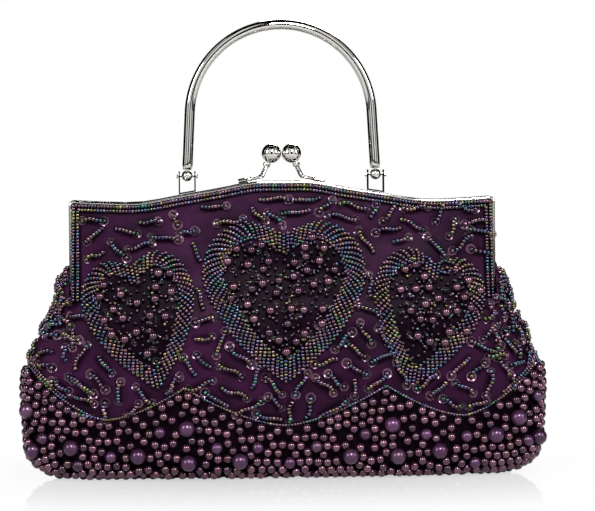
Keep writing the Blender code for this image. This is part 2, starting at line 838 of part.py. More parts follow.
def pearl_columns(turns, rims):
    """Columns of points of the band's outer side, raised at each small pearl and low between them."""
    start = BAND_OFFSET + BASE_CORNER_Z
    tall = standing_pearls()
    columns = []
    for place, (turn, rim) in enumerate(zip(turns, rims)):
        extra = max(0, math.floor((rim - PEARL_EDGE_MARGIN - start) / PEARL_ROW_PITCH))
        column = [skin_point(turn, 0, 0.0, BAND_OFFSET)]
        for row in range(1, PEARL_CORNER_ROWS + extra + 1):
            level = start + (row - PEARL_CORNER_ROWS) * PEARL_ROW_PITCH
            top = skin_point(turn, row, level, BAND_OFFSET)
            crowded = any((top - centre).length < radius + PEARL_SPACE for centre, radius in tall)
            at_end = place in (0, len(turns) - 1)
            if (place + row) % 2 or crowded or at_end:
                top = skin_point(turn, row, level, PEARL_VALLEY)
            column.append(top)
        column.append(skin_point(turn, len(column), rim, PEARL_VALLEY))
        columns.append(column)
    return columns


def skin_faces(columns, numbers):
    """Triangles between neighbouring columns, split so that each raised point stands alone."""
    faces = []
    for place in range(len(columns) - 1):
        left, right = numbers[place], numbers[place + 1]
        shared = min(len(left), len(right)) - 1
        for row in range(shared - 1):
            low, after = left[row], right[row]
            up, over = left[row + 1], right[row + 1]
            if (place + row) % 2:
                faces += [(low, after, over), (low, over, up)]
            else:
                faces += [(low, after, up), (after, over, up)]
        left, right = left[shared - 1 :], right[shared - 1 :]
        for row in range(len(right) - 1):
            faces.append((left[0] if len(left) > 2 else left[-1], right[row], right[row + 1]))
        for row in range(len(left) - 1):
            faces.append((left[row], right[-1] if len(left) > 2 else right[0], left[row + 1]))
    return faces


def rim_faces(turns, outer_rim, coarse, inner_rim):
    """Triangles between the fine outer rim and the coarse inner rim, in step with their turns."""
    faces = []
    near, far = 0, 0
    while near < len(inner_rim) - 1 or far < len(outer_rim) - 1:
        inner_done = near == len(inner_rim) - 1
        outer_done = far == len(outer_rim) - 1
        if inner_done or (not outer_done and turns[far + 1] <= coarse[near + 1]):
            faces.append((outer_rim[far], outer_rim[far + 1], inner_rim[near]))
            far += 1
        else:
            faces.append((outer_rim[far], inner_rim[near + 1], inner_rim[near]))
            near += 1
    return faces


def make_pearl_band(side, finish):
    """The thick skin of small sewn pearls, with larger pearls standing out of it.

    Its inner side follows the satin in few faces. Its outer side rises and falls with the
    rows of small pearls.
    """
    name = "front" if side == FRONT else "back"
    inner_offset = BAND_OFFSET - PEARL_LAYER + 2 * GAP
    inner = sack_grid(-inner_offset, -inner_offset, band_rim, (0.5,))
    coarse = np.linspace(-math.pi / 2, math.pi / 2, FACE_COLUMNS)
    turns = even_turns()
    rims = np.interp(turns, coarse, [point[2] for point in inner[-1]])
    columns = pearl_columns(turns, rims)
    points = [tuple(point) for row in inner[1:] for point in row]
    rows = len(inner) - 1
    faces = [tuple(range(FACE_COLUMNS))]
    for row in range(rows - 1):
        for column in range(FACE_COLUMNS - 1):
            low = row * FACE_COLUMNS + column
            faces.append((low, low + FACE_COLUMNS, low + FACE_COLUMNS + 1, low + 1))
    numbers = []
    for column in columns:
        numbers.append(list(range(len(points), len(points) + len(column))))
        points += [tuple(point) for point in column]
    faces += skin_faces(columns, numbers)
    faces.append(tuple(line[0] for line in numbers[::-1]))
    inner_rim = [(rows - 1) * FACE_COLUMNS + column for column in range(FACE_COLUMNS)]
    faces += rim_faces(turns, [line[-1] for line in numbers], coarse, inner_rim)
    left_end = [row * FACE_COLUMNS for row in range(rows)]
    right_end = [corner + FACE_COLUMNS - 1 for corner in left_end]
    faces.append(tuple(left_end + numbers[0][::-1] + numbers[-1] + right_end[::-1]))
    mesh = bpy.data.meshes.new(name)
    mesh.from_pydata(turned_to(side, [points])[0], [], faces)
    band = add_object(f"{name}_pearl_band", weld(mesh), finish)
    for centre, radius in standing_pearls():
        place = turned_to(side, [[centre]])[0][0]
        rings = PEARL_RINGS if radius == LARGE_PEARL_RADIUS else PEARL_RINGS - 1
        combine(band, ball("standing_pearl", place, radius, PEARL_SIDES, rings), "UNION")
    return finish_with(band, finish)


def make_base_board(finish):
    """The stiff board between the satin and the lining."""
    outline = []
    half_width = SATIN_HALF_WIDTH - BOARD_END_MARGIN
    half_depth = SATIN_HALF_DEPTH - BOARD_SIDE_MARGIN
    for step in range(32):
        turn = 2 * math.pi * step / 32
        x = math.copysign(abs(math.cos(turn)) ** (2 / SECTION_POWER), math.cos(turn))
        y = math.copysign(abs(math.sin(turn)) ** (2 / SECTION_POWER), math.sin(turn))
        outline.append((x * half_width, y * half_depth))
    board = prism("base_board", outline, BOARD_THICKNESS, "XY")
    shift(board, z=BAND_OFFSET + SATIN_THICKNESS + GAP + BOARD_THICKNESS / 2)
    return finish_with(board, finish)


def make_slip_pocket(finish):
    """An open-topped pocket sewn to the back lining."""
    grid = []
    for row in range(5):
        height = POCKET_BOTTOM + (POCKET_TOP - POCKET_BOTTOM) * row / 4
        line = []
        for column in range(9):
            x = POCKET_HALF_WIDTH * (column / 4 - 1)
            y, out = sack_surface(x, height, -POCKET_INSET)
            line.append((x, y, height))
        grid.append(line)
    sheet("slip_pocket", turned_to(BACK, grid), POCKET_THICKNESS, finish)


def make_panel(side, satin, lining):
    """The satin and the lining that one half of the frame holds."""
    name = "front" if side == FRONT else "back"
    sheet(f"{name}_upper_panel", turned_to(side, panel_grid(0.0)), PANEL_THICKNESS, satin)
    inset = PANEL_THICKNESS + GAP
    sheet(f"{name}_upper_lining", turned_to(side, panel_grid(inset)), LINING_THICKNESS, lining)


def lug_outline(side):
    """A lug seen along the hinge line: a disc with a shank that rises into its leg."""
    points = []
    for step in range(19):
        turn = math.pi / 2 + 1.5 * math.pi * step / 18
        points.append((LUG_RADIUS * math.cos(turn), LUG_RADIUS * math.sin(turn)))
    top = LUG_CLEAR_HEIGHT + LUG_JOG_HEIGHT - HINGE_HEIGHT
    points.append((LUG_RADIUS, top))
    points.append((LUG_SHANK_EDGE, top))
    return [(side * across, HINGE_HEIGHT + up) for across, up in points]


def make_frame(side, metal):
    """One half of the frame: a rim with an inner flange, and a pierced lug at each leg end.

    The front half's lugs lie in the plane of its legs, and the back half's legs are
    jogged inwards so that its lugs lie just inside them.
    """
    name = "front" if side == FRONT else "back"
    paths = [frame_path(inset, LUG_CLEAR_HEIGHT) for inset in (0.0, FRAME_RIM, FLANGE_HEIGHT)]
    parting = PARTING_HALF_GAP
    step = PARTING_HALF_GAP + FLANGE_THICKNESS
    rings = []
    for rim, edge, flange in zip(*paths):
        ring = [(rim, parting), (rim, FRAME_OUTER_Y), (edge, FRAME_OUTER_Y)]
        ring += [(edge, step), (flange, step), (flange, parting)]
        rings.append([(x, side * y, z) for (x, z), y in ring])
    frame = loft(f"{name}_frame", rings)
    middle = HALF_FRAME - FRAME_RIM / 2
    if side == BACK:
        middle -= FRAME_RIM + GAP
    for end in (-1.0, 1.0):
        lug = prism("lug", lug_outline(side), LUG_THICKNESS, "YZ")
        shift(lug, x=end * middle)
        if side == BACK:
            low = LUG_CLEAR_HEIGHT + GAP
            high = LUG_CLEAR_HEIGHT + LUG_JOG_HEIGHT - GAP
            near = LUG_SHANK_EDGE + GAP
            far = LUG_RADIUS - GAP
            jog = prism("jog", [(near, low), (far, low), (far, high), (near, high)], FRAME_RIM + GAP, "YZ")
            shift(jog, x=end * (middle + (FRAME_RIM + GAP) / 2))
            combine(lug, jog, "UNION")
        combine(frame, lug, "UNION")
        reach = Vector((LUG_THICKNESS, 0.0, 0.0))
        centre = Vector((end * middle, 0.0, HINGE_HEIGHT))
        combine(frame, rod("rivet_hole", centre - reach, centre + reach, HOLE_RADIUS, 12), "DIFFERENCE")
    return finish_with(frame, metal)


def make_rivet(end, metal):
    """The rivet that both halves turn on, with a domed head at each end."""
    name = "hinge_rivet_left" if end < 0 else "hinge_rivet_right"
    inner = HALF_FRAME - 2 * FRAME_RIM - 2 * GAP
    outer = HALF_FRAME + GAP
    rivet = rod(
        name,
        (end * (inner - RIVET_HEAD_HEIGHT / 2), 0.0, HINGE_HEIGHT),
        (end * (outer + RIVET_HEAD_HEIGHT / 2), 0.0, HINGE_HEIGHT),
        RIVET_RADIUS,
        12,
    )
    for seat, away in ((outer, end), (inner, -end)):
        work = bmesh.new()
        bmesh.ops.create_cone(
            work,
            cap_ends=True,
            segments=ROUND_SIDES,
            radius1=RIVET_HEAD_RADIUS,
            radius2=RIVET_HEAD_RADIUS / 2,
            depth=RIVET_HEAD_HEIGHT,
        )
        mesh = bpy.data.meshes.new("rivet_head")
        work.to_mesh(mesh)
        work.free()
        turn = Vector((away, 0.0, 0.0)).to_track_quat("Z", "Y").to_matrix().to_4x4()
        centre = Vector((end * seat + away * RIVET_HEAD_HEIGHT / 2, 0.0, HINGE_HEIGHT))
        mesh.transform(Matrix.Translation(centre) @ turn)
        combine(rivet, add_object("rivet_head", mesh), "UNION")
    return finish_with(rivet, metal)


def make_clasp(side, metal):
    """One half of the kiss-lock: a foot on the crown, a curved arm with a collar, and a ball."""
    name = "front" if side == FRONT else "back"
    foot = []
    for inset in (0.0, 1.0):
        line = []
        for step in range(5):
            x = CLASP_PLATE_INNER_X + (CLASP_PLATE_OUTER_X - CLASP_PLATE_INNER_X) * step / 4
            ends = CLASP_PLATE_THICKNESS / 2 if inset and step in (0, 4) else 0.0
            x += ends if step == 0 else -ends
            line.append((side * x, frame_top(x) + GAP + inset * CLASP_PLATE_THICKNESS))
        foot = foot + (line if inset == 0.0 else line[::-1])
    arm = prism(f"{name}_clasp_arm", foot, CLASP_PLATE_DEPTH, "XZ")
    shift(arm, y=side * FRAME_MIDDLE_Y)
    ball_centre = Vector((side * CLASP_BALL_X, 0.0, CLASP_BALL_HEIGHT))
    plate_top = frame_top(CLASP_PLATE_INNER_X) + GAP + CLASP_PLATE_THICKNESS
    rise = CLASP_BALL_HEIGHT - plate_top
    start_x = CLASP_PLATE_OUTER_X - CLASP_ARM_RADIUS * 2
    start = Vector((side * start_x, side * FRAME_MIDDLE_Y, plate_top - rise / 10))
    bend = Vector((side * CLASP_PLATE_INNER_X, side * FRAME_MIDDLE_Y, plate_top + rise / 5))
    lean = Vector((side * CLASP_ARM_RADIUS * 3, 0.0, -CLASP_BALL_RADIUS - CLASP_COLLAR_HEIGHT))
    neck = ball_centre + lean
    points = []
    for step in range(9):
        t = step / 8
        points.append(start * (1 - t) ** 2 + bend * 2 * t * (1 - t) + neck * t * t)
    toward = (ball_centre - neck).normalized()
    seat = ball_centre - toward * (CLASP_BALL_RADIUS + GAP)
    points.append(seat - toward * CLASP_COLLAR_HEIGHT / 2)
    combine(arm, tube("arm", points, CLASP_ARM_RADIUS, 3), "UNION")
    collar = rod("collar", seat - toward * CLASP_COLLAR_HEIGHT, seat, CLASP_COLLAR_RADIUS)
    combine(arm, collar, "UNION")
    finish_with(arm, metal)
    finish_with(ball(f"{name}_clasp_ball", ball_centre, CLASP_BALL_RADIUS), metal)


def pivot_height():
    """Height of the handle's pins over the frame's top beside them."""
    return frame_top(HANDLE_HALF_SPAN) + HANDLE_PIVOT_RISE


def leg_direction(end):
    """The way up a leg of the handle, which leans in by the splay."""
    return Vector((-end * math.sin(HANDLE_SPLAY), 0.0, math.cos(HANDLE_SPLAY)))


def handle_arch():
    """Radius of the arch that meets both legs smoothly, and the height of its middle."""
    rise = HANDLE_REACH - HANDLE_TUBE_RADIUS
    lean = math.tan(HANDLE_SPLAY)
    span = HANDLE_HALF_SPAN - rise * lean
    radius = span / (math.cos(HANDLE_SPLAY) - lean * (1 - math.sin(HANDLE_SPLAY)))
    return radius, pivot_height() + rise - radius


def make_handle(metal):
    """The hollow tube: two straight legs, a little splayed, and an arch."""
    radius, centre = handle_arch()
    feet = []
    for end in (-1.0, 1.0):
        pivot = Vector((end * HANDLE_HALF_SPAN, FRAME_MIDDLE_Y, pivot_height()))
        feet.append(pivot + leg_direction(end) * (HANDLE_BALL_RADIUS + GAP))
    points = [feet[0]]
    for step in range(TUBE_ARC_STEPS + 1):
        share = 1 - step / TUBE_ARC_STEPS
        turn = HANDLE_SPLAY + (math.pi - 2 * HANDLE_SPLAY) * share
        points.append((radius * math.cos(turn), FRAME_MIDDLE_Y, centre + radius * math.sin(turn)))
    points.append(feet[1])
    handle = tube("handle_tube", points, HANDLE_TUBE_RADIUS, 4, closed_ends=False)
    wall = handle.modifiers.new("wall", "SOLIDIFY")
    wall.thickness = HANDLE_TUBE_WALL
    wall.offset = -1.0
    wall.use_even_offset = True
    return finish_with(handle, metal)


def make_handle_end(end, metal):
    """A ball with a spigot up the tube, the pin through it, and the bracket that holds the pin."""
    name = "left" if end < 0 else "right"
    x = end * HANDLE_HALF_SPAN
    pivot = Vector((x, FRAME_MIDDLE_Y, pivot_height()))
    along = Vector((1.0, 0.0, 0.0))
    knob = ball(f"handle_ball_{name}", pivot, HANDLE_BALL_RADIUS, 14, 8)
    spigot_radius = HANDLE_TUBE_RADIUS - HANDLE_TUBE_WALL - GAP
    top = pivot + leg_direction(end) * (HANDLE_BALL_RADIUS + HANDLE_SPIGOT_LENGTH)
    combine(knob, rod("spigot", pivot, top, spigot_radius, 12), "UNION")
    reach = HANDLE_BALL_RADIUS + OVERRUN
    hole = rod("ball_hole", pivot - along * reach, pivot + along * reach, PIN_RADIUS + GAP, 10)
    combine(knob, hole, "DIFFERENCE")
    finish_with(knob, metal)

    half = BRACKET_WIDTH / 2 + GAP
    pin = rod(f"handle_pin_{name}", pivot - along * half, pivot + along * half, PIN_RADIUS, 10)
    for away in (-1.0, 1.0):
        seat = pivot + along * away * half
        head = rod("pin_head", seat, seat + along * away * PIN_HEAD_THICKNESS, PIN_HEAD_RADIUS, 12)
        combine(pin, head, "UNION")
    finish_with(pin, metal)

    left, right = x - BRACKET_WIDTH / 2, x + BRACKET_WIDTH / 2
    top = pivot_height() + BRACKET_TIP
    outline = [(left, top)]
    steps = 4
    for step in range(steps + 1):
        place = left + (right - left) * step / steps
        outline.append((place, frame_top(place) + GAP))
    outline.append((right, top))
    outline.append((right - BRACKET_STRIP, top))
    for step in range(steps + 1):
        place = right - BRACKET_STRIP - (BRACKET_WIDTH - 2 * BRACKET_STRIP) * step / steps
        outline.append((place, frame_top(place) + GAP + BRACKET_STRIP))
    outline.append((left + BRACKET_STRIP, top))
    bracket = prism(f"handle_bracket_{name}", outline, BRACKET_DEPTH, "XZ")
    shift(bracket, y=FRAME_MIDDLE_Y)
    tip_shape = [(-BRACKET_DEPTH / 2, HINGE_HEIGHT), (BRACKET_DEPTH / 2, HINGE_HEIGHT)]
    for step in range(9):
        turn = math.pi * step / 8
        tip_shape.append(
            (
                BRACKET_DEPTH / 2 * math.cos(turn),
                pivot_height() + BRACKET_TIP * math.sin(turn),
            )
        )
    tip = prism("ear_shape", tip_shape, BRACKET_WIDTH * 2, "YZ")
    shift(tip, x=x, y=FRAME_MIDDLE_Y)
    combine(bracket, tip, "INTERSECT")
    reach = BRACKET_WIDTH
    hole = rod("ear_hole", pivot - along * reach, pivot + along * reach, PIN_RADIUS + GAP, 10)
    combine(bracket, hole, "DIFFERENCE")
    finish_with(bracket, metal)


def add_axis(name, place, child_names):
    """An empty on a joint's axis that carries the pieces that turn about it."""
    axis = bpy.data.objects.new(name, None)
    axis.location = place
    PARTS.objects.link(axis)
    bpy.context.view_layer.update()
    for child_name in child_names:
        child = bpy.data.objects[child_name]
        child.parent = axis
        child.matrix_parent_inverse = axis.matrix_world.inverted()
    return axis


def build():
    """Make every piece of the bag and hang the moving ones on their axes."""
    satin = material("purple_satin", (0.075, 0.020, 0.100), 0.38)
    lining = material("black_lining", (0.012, 0.008, 0.014), 0.60)
    beads = material("iris_seed_beads", (0.030, 0.028, 0.045), 0.18)
    pearls = material("plum_glass_pearls", (0.110, 0.035, 0.100), 0.22)
    metal = material("polished_nickel", (0.66, 0.66, 0.64), 0.12, 1.0)
    board = material("grey_card", (0.20, 0.19, 0.18), 0.80)
    for side in (FRONT, BACK):
        make_frame(side, metal)
        make_clasp(side, metal)
        make_panel(side, satin, lining)
        make_border(side, beads)
        make_sack(side, satin, lining)
        make_hearts(side, beads)
        make_scallop_strand(side, beads)
        make_pearl_band(side, pearls)
    make_base_board(board)
    make_slip_pocket(lining)
    make_handle(metal)
    for end in (-1.0, 1.0):
        make_rivet(end, metal)
        make_handle_end(end, metal)
    hinge = (0.0, 0.0, HINGE_HEIGHT)
    carried = ("frame", "clasp_arm", "clasp_ball", "upper_panel", "upper_lining")
    carried = carried + ("border_strands", "heart_top_left", "heart_top_middle", "heart_top_right")
    add_axis("front_half_axis", hinge, [f"front_{piece}" for piece in carried])
    back_axis = add_axis("back_half_axis", hinge, [f"back_{piece}" for piece in carried])
    ends = ("left", "right")
    turning = ["handle_tube"] + [f"handle_{piece}_{end}" for piece in ("ball", "pin") for end in ends]
    handle_axis = add_axis("handle_axis", (0.0, FRAME_MIDDLE_Y, pivot_height()), turning)
    brackets = [bpy.data.objects[f"handle_bracket_{end}"] for end in ends]
    for child in (handle_axis, *brackets):
        child.parent = back_axis
        child.matrix_parent_inverse = back_axis.matrix_world.inverted()


clear_scene()
PARTS = make_collection("beaded_handbag")
build()
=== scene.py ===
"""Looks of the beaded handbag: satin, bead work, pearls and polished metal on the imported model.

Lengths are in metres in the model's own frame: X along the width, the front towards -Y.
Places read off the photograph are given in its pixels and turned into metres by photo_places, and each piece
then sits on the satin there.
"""

import math

import bpy
import numpy as np
from mathutils import Matrix, Vector


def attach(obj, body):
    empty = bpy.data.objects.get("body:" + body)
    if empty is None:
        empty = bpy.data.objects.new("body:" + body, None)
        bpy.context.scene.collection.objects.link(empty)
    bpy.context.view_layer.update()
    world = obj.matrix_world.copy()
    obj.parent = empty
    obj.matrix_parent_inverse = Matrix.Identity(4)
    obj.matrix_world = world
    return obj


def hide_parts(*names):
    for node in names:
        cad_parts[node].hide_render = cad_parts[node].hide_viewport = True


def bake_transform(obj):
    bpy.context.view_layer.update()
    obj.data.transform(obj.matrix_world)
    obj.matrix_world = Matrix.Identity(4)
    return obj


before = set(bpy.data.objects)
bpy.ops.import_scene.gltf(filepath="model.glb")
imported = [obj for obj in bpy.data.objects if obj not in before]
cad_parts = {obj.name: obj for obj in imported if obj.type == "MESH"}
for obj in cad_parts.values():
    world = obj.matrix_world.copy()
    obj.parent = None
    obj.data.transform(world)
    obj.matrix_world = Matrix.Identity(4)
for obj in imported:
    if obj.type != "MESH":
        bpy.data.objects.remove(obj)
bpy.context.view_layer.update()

# Photograph
METRES_PER_PIXEL = 0.00053
MIDDLE_PIXEL = 282.4
FLOOR_PIXEL = 475.0

# Sack and upper panel, as in the model
BAND_HALF_WIDTH = 0.1395
BAND_HALF_DEPTH = 0.028
BAND_OFFSET = 0.0043
SATIN_HALF_WIDTH = BAND_HALF_WIDTH - BAND_OFFSET
SATIN_HALF_DEPTH = BAND_HALF_DEPTH - BAND_OFFSET
HINGE_HEIGHT = 0.094
BASE_CORNER_X = 0.020
BASE_CORNER_Y = 0.0055
BASE_CORNER_Z = 0.014
BASE_CENTRE = BAND_OFFSET + BASE_CORNER_Z
SECTION_POWER = 3.5
SACK_SECTION_SHARES = (
    (0.195, 0.990, 0.985),
    (0.400, 0.997, 1.000),
    (0.520, 1.000, 1.000),
    (0.690, 0.980, 0.985),
    (0.780, 0.960, 0.965),
    (0.830, 0.945, 0.950),
    (0.895, 0.912, 0.943),
    (1.000, 0.867, 0.930),
    (1.170, 0.845, 0.905),
)
HALF_FRAME = 0.1125
SHOULDER_HEIGHT = 0.147
CROWN_RISE = 0.009
FRAME_RIM = 0.0016
FRAME_OUTER_Y = 0.0065
FRAME_MIDDLE_Y = 0.00335
FRAME_TOP_SHARES = (
    (0.00, 1.00),
    (0.13, 0.98),
    (0.29, 0.62),
    (0.47, 0.25),
    (0.67, -0.15),
    (0.85, -0.11),
    (1.00, 0.00),
)
PANEL_HALF_WIDTH = 0.1106
PANEL_EDGE_Y = 0.0060
PANEL_BULGE = 0.010
PANEL_POWER = 2.2
PANEL_TOP_INSET = 0.0019
PANEL_FOOT = 0.0943
FOLD_START = 0.078
FOLD_END = 0.110
LINING_INSET = 0.0018

# Steps over which the slopes of a surface are taken
FACE_STEP = 0.0004
OVAL_TURN = 0.003
OVAL_RISE = 0.0003

# Level folds of the satin: where they begin and end in height and across, and their waves per metre
FOLD_HEIGHT = 0.00035
FOLD_LOW = (0.034, 0.060)
FOLD_HIGH = (0.118, 0.138)
FOLD_END_SHARES = (0.75, 0.93)
FOLD_WAVES = (210.0, 31.0, 95.0, 40.0)

# Points of the grids. Satin: across and outside the frame, then at the corner, on the sack and above
SATIN_COLUMNS = (241, 9)
SATIN_ROWS = (8, 90, 62)
LINING_COLUMNS = 61
LINING_ROWS = (20, 14)
PUFF_GRID = (16, 25)
SCALLOP_POINTS = 600
HEART_CURVE_POINTS = 160
SHADE_CURVE_POINTS = 80

# Scalloped edge of the pearls
SCALLOP_MIDDLE_LOW = 0.0273
SCALLOP_CUSP_X = 0.0545
SCALLOP_CUSP_HEIGHT = 0.0475
SCALLOP_SIDE_X = 0.097
SCALLOP_SIDE_LOW = 0.0312
SCALLOP_END_HEIGHT = 0.060
SCALLOP_POWER = 1.6

# Beads
SEED_RADIUS = 0.00110
SEED_LENGTH = 0.00150
SEED_PITCH = 0.00166
SEED_LIFT = SEED_RADIUS * 0.9
SMALL_PEARL_RADIUS = 0.00246
SMALL_PEARL_GAP = 0.00495
MEDIUM_PEARL_RADIUS = 0.0031
LARGE_PEARL_RADIUS = 0.0042
HEART_PEARL_RADIUS = 0.00240
SEQUIN_RADIUS = 0.0026
BORDER_INSETS = (0.0025, 0.0047)
HEART_CROWN = 0.0009
STALK_FOOT = 0.0014
STALK_RISE = 0.0018
STALK_BOW = 0.0009
STALK_LEAST_BEADS = 4
STALK_ARCH_POWER = 0.7
STALK_BEAD_SHARE = 1.22
SCALLOP_BEAD_SHARE = 1.0
SCALLOP_PITCH = 0.00160
STALK_PITCH = 0.00180
HEART_BED_GAP = 0.0034
HEART_BED_TRIES = 5000
HEART_DISC_STEP = 6
SEQUIN_MISS_SHARE = 0.25
SEQUIN_CUP_SHARE = 0.24
# Sequin rings: share of the radius, and painted light: darker towards the centre, a painted highlight at the
# rim
SEQUIN_RINGS_AND_PAINTED_LIGHT = ((0.20, 0.10), (0.55, 0.16), (0.70, 0.45), (0.86, 1.0), (1.0, 1.3))
SEQUIN_ALPHA = 0.80
END_STALKS = 34
END_STALK_GAP = 0.0058
LARGE_PEARL_LIFT = 0.0040
MEDIUM_PEARL_LIFT = 0.0030
SEEK_SHARE = 0.7
SEEK_ROUNDS = 12
PEARL_ROUNDS = (40, 25)
PEARL_TRIES = 9000
PEARL_ROW_STEP = 0.0041
PEARL_STEP = 0.0047
PEARL_JITTER = 0.0004
PEARL_LEAST_GAP = 0.0044
PEARL_PUSH_SHARES = (0.35, 0.6)
PEARL_CLEAR_SHARES = (0.85, 0.9)
SCALLOP_PEARL_MARGIN = 0.0019
SCALLOP_RISE = 0.0012
SCALLOP_SECOND_RISE = 0.0034
SCALLOP_SECOND_TURN = math.radians(58)
STALK_JITTER = 0.0005
# Reach of the painted shadow on the satin beside each stalk
STALK_SHADE_REACH = 0.0032
STALK_FREE_GAP = 0.0040
SEQUIN_LIFT = (0.0004, 0.0009)
SEQUIN_SHIFT = (-0.0006, 0.0008)
SEQUIN_TIP_SHARES = (-0.1, 0.5)
SEQUIN_ROLL_SHARES = (-0.3, 0.3)
SEQUIN_SIZE_SHARES = (0.85, 1.1)
HEART_DISC_SHARES = (0.7, 0.9)
STALK_BEAD_SHARES = (0.94, 1.04)
HEART_BEAD_SHARES = (0.96, 1.03)
HEART_PEARL_SHARES = (0.94, 1.06)
SMALL_PEARL_SHARES = (0.95, 1.0)
MORE_STALK_TRIES = 1500
MORE_STALK_X = 0.104
MORE_STALK_TOP = 0.0095
MORE_STALK_REACH = (0.0065, 0.0100)
END_STALK_DEGREES = (58, 84)
END_STALK_HEIGHT = (0.058, 0.091)
END_STALK_LIMITS = (0.052, 0.093)
END_STALK_REACH = (0.0060, 0.0085)
END_STALK_LENGTH = (0.0045, 0.0095)
END_STALK_RADIUS = 0.05
# Painted shade on the satin: its reach along the border strands, its edge below the scallop, a power that
# takes green out where it is dark, its shares under the pearls, in the hearts, by the stalks and by the
# border, its greatest depth, and its soft edge inside the hearts
BORDER_SHADE_REACH = 0.0036
PAINTED_SHADE_EDGE = (-0.0010, 0.0015)
PAINTED_SHADE_GREEN_POWER = 1.5
PAINTED_SHADE_SHARES = (0.90, 0.82, 0.78, 0.85)
PAINTED_SHADE_DEPTH = 0.94
HEART_SHADE_SHARE = 0.12
BASE_PEARL_ROW = 0.0043
BASE_PEARL_STEP = 0.0049
BASE_PEARL_INSETS = (0.0020, 0.0024, 0.0018)
BASE_PEARL_JITTER = 0.00015

# Lining, seams and the soft gussets outside the frame's legs
FRAME_CORNER_RADIUS = 0.0025
LEAST_BEND = 0.0004
SEAM_HALF_GAP = 0.0003
LINING_FLOOR = 0.0026
PUFF_INNER_X = 0.1128
PUFF_FOOT_X = 0.1205
PUFF_TIP_X = 0.1142
PUFF_FOOT_Y = 0.0135
PUFF_TIP_Y = 0.0060
PUFF_FOOT_Z = 0.086
PUFF_TOP = 0.1125
PUFF_STALKS = 11
PUFF_STEP_SHARE = 0.01

# Metal, as in the model
CLASP_BALL_RADIUS = 0.00515
CLASP_BALL_X = 0.0053
CLASP_BALL_Z = 0.1705
CLASP_FOOT_OUTER_X = 0.0230
CLASP_FOOT_INNER_X = 0.0140
CLASP_ARM_HALF_THICKNESS = 0.0012
CLASP_ARM_HALF_DEPTH = 0.0014
CLASP_FOOT_HALF_DEPTH = 0.0024
CLASP_COLLAR_RADIUS = 0.0019
CLASP_ARM_RISE = ((0.0112, -0.0122), (0.0094, -0.0096), (0.0082, -0.0070), (0.0076, -0.0050))
HANDLE_REACH = 0.0824
HANDLE_HALF_SPAN = 0.050
HANDLE_SPLAY = math.radians(3.0)
HANDLE_TUBE_RADIUS = 0.0027
HANDLE_PIVOT_Z = 0.159016
HANDLE_BALL_RADIUS = 0.00295
MOULDING_FOOT = 0.0985
MOULDING_DEPTH = 0.0007
MOULDING_SINK = 0.0001

# Studio
FLOOR_MIRROR_SHARE = 0.30
FLOOR_GLOW_SHARE = 0.82
FLOOR_CARD_SHARE = 0.15
MIRROR_NEAR_SHARE = 0.2
MIRROR_REACH_X = 0.34
MIRROR_REACH_Y = 0.16
FILL_STRENGTH = 0.20
FLOOR_REACH = 3.0
FILM_LIFT = 0.0001
SCREEN_RADIUS = 1.4
SCREEN_TOP = 2.2
SCREEN_ARCS = ((1.0, 11.0), (-45.0, 9.0), (50.0, 9.0), (180.0, 106.0))
CAMERA_AZIMUTH = -2.5
CAMERA_ELEVATION = 2.5
CAMERA_ROLL = 0.55

FRONT = -1.0
BACK = 1.0
WHITE = (1.0, 1.0, 1.0, 1.0)
CARD_GREY = (0.7, 0.7, 0.7, 1.0)
FLOOR_ROUGHNESS = 0.012
LIGHTS = (
    ("key", (0.12, -1.05, 0.85), 0.08, (0.28, 0.28), 13.0),
    ("left_window", (-1.0, -0.7, 0.6), 0.08, (0.25, 0.5), 6.0),
    ("right_window", (1.0, -0.6, 0.6), 0.08, (0.25, 0.5), 5.0),
    ("back_window", (0.2, 1.1, 0.9), 0.1, (0.6, 0.4), 9.0),
)
CAMERA_TARGET = (0.0080, 0.0, 0.1163)
CAMERA_DISTANCE = 1.6
CAMERA_LENS = 182.6
CAMERA_SENSOR = 36.0

# Cloth and plate: noise scale and detail, bump strength and depth
SATIN_WEAVE = (2600.0, 1.0, 0.15, 0.0001)
SATIN_CREASES = (120.0, 2.0, 0.35, 0.0012)
LINING_WEAVE = (1800.0, 2.0, 0.2, 0.0001)
NICKEL_WAVES = (90.0, 2.0, 0.03, 0.0003)
SATIN_CLOUD = {"Scale": 38.0, "Detail": 4.0}
SATIN_TONES = ((0.35, "200c20"), (0.70, "3a1737"))

SIDE_NAMES = {FRONT: "front", BACK: "back"}
ACROSS = (1.0, 0.0, 0.0)
PEARL_UP = (0.3, 0.1, 1.0)
RIGHT_ANGLE = math.pi / 2

# Heart outlines, half of each from notch to tip, over its half-width and height
HEART_OUTER_SHARES = (
    (0.00, 0.926),
    (0.24, 0.970),
    (0.46, 1.000),
    (0.71, 0.955),
    (0.89, 0.872),
    (0.98, 0.765),
    (1.00, 0.655),
    (0.94, 0.549),
    (0.85, 0.460),
    (0.60, 0.274),
    (0.29, 0.124),
    (0.00, 0.000),
)
HEART_INNER_SHARES = (
    (0.00, 0.805),
    (0.20, 0.866),
    (0.39, 0.902),
    (0.58, 0.862),
    (0.70, 0.790),
    (0.75, 0.725),
    (0.76, 0.655),
    (0.71, 0.583),
    (0.62, 0.504),
    (0.42, 0.335),
    (0.20, 0.215),
    (0.00, 0.150),
)

# Upright rows at a heart's notch and tip: lower and upper end over its height, and rise to either side
HEART_MIDDLE_SHARES = ((0.812, 0.920, 0.36), (0.012, 0.140, 0.60))

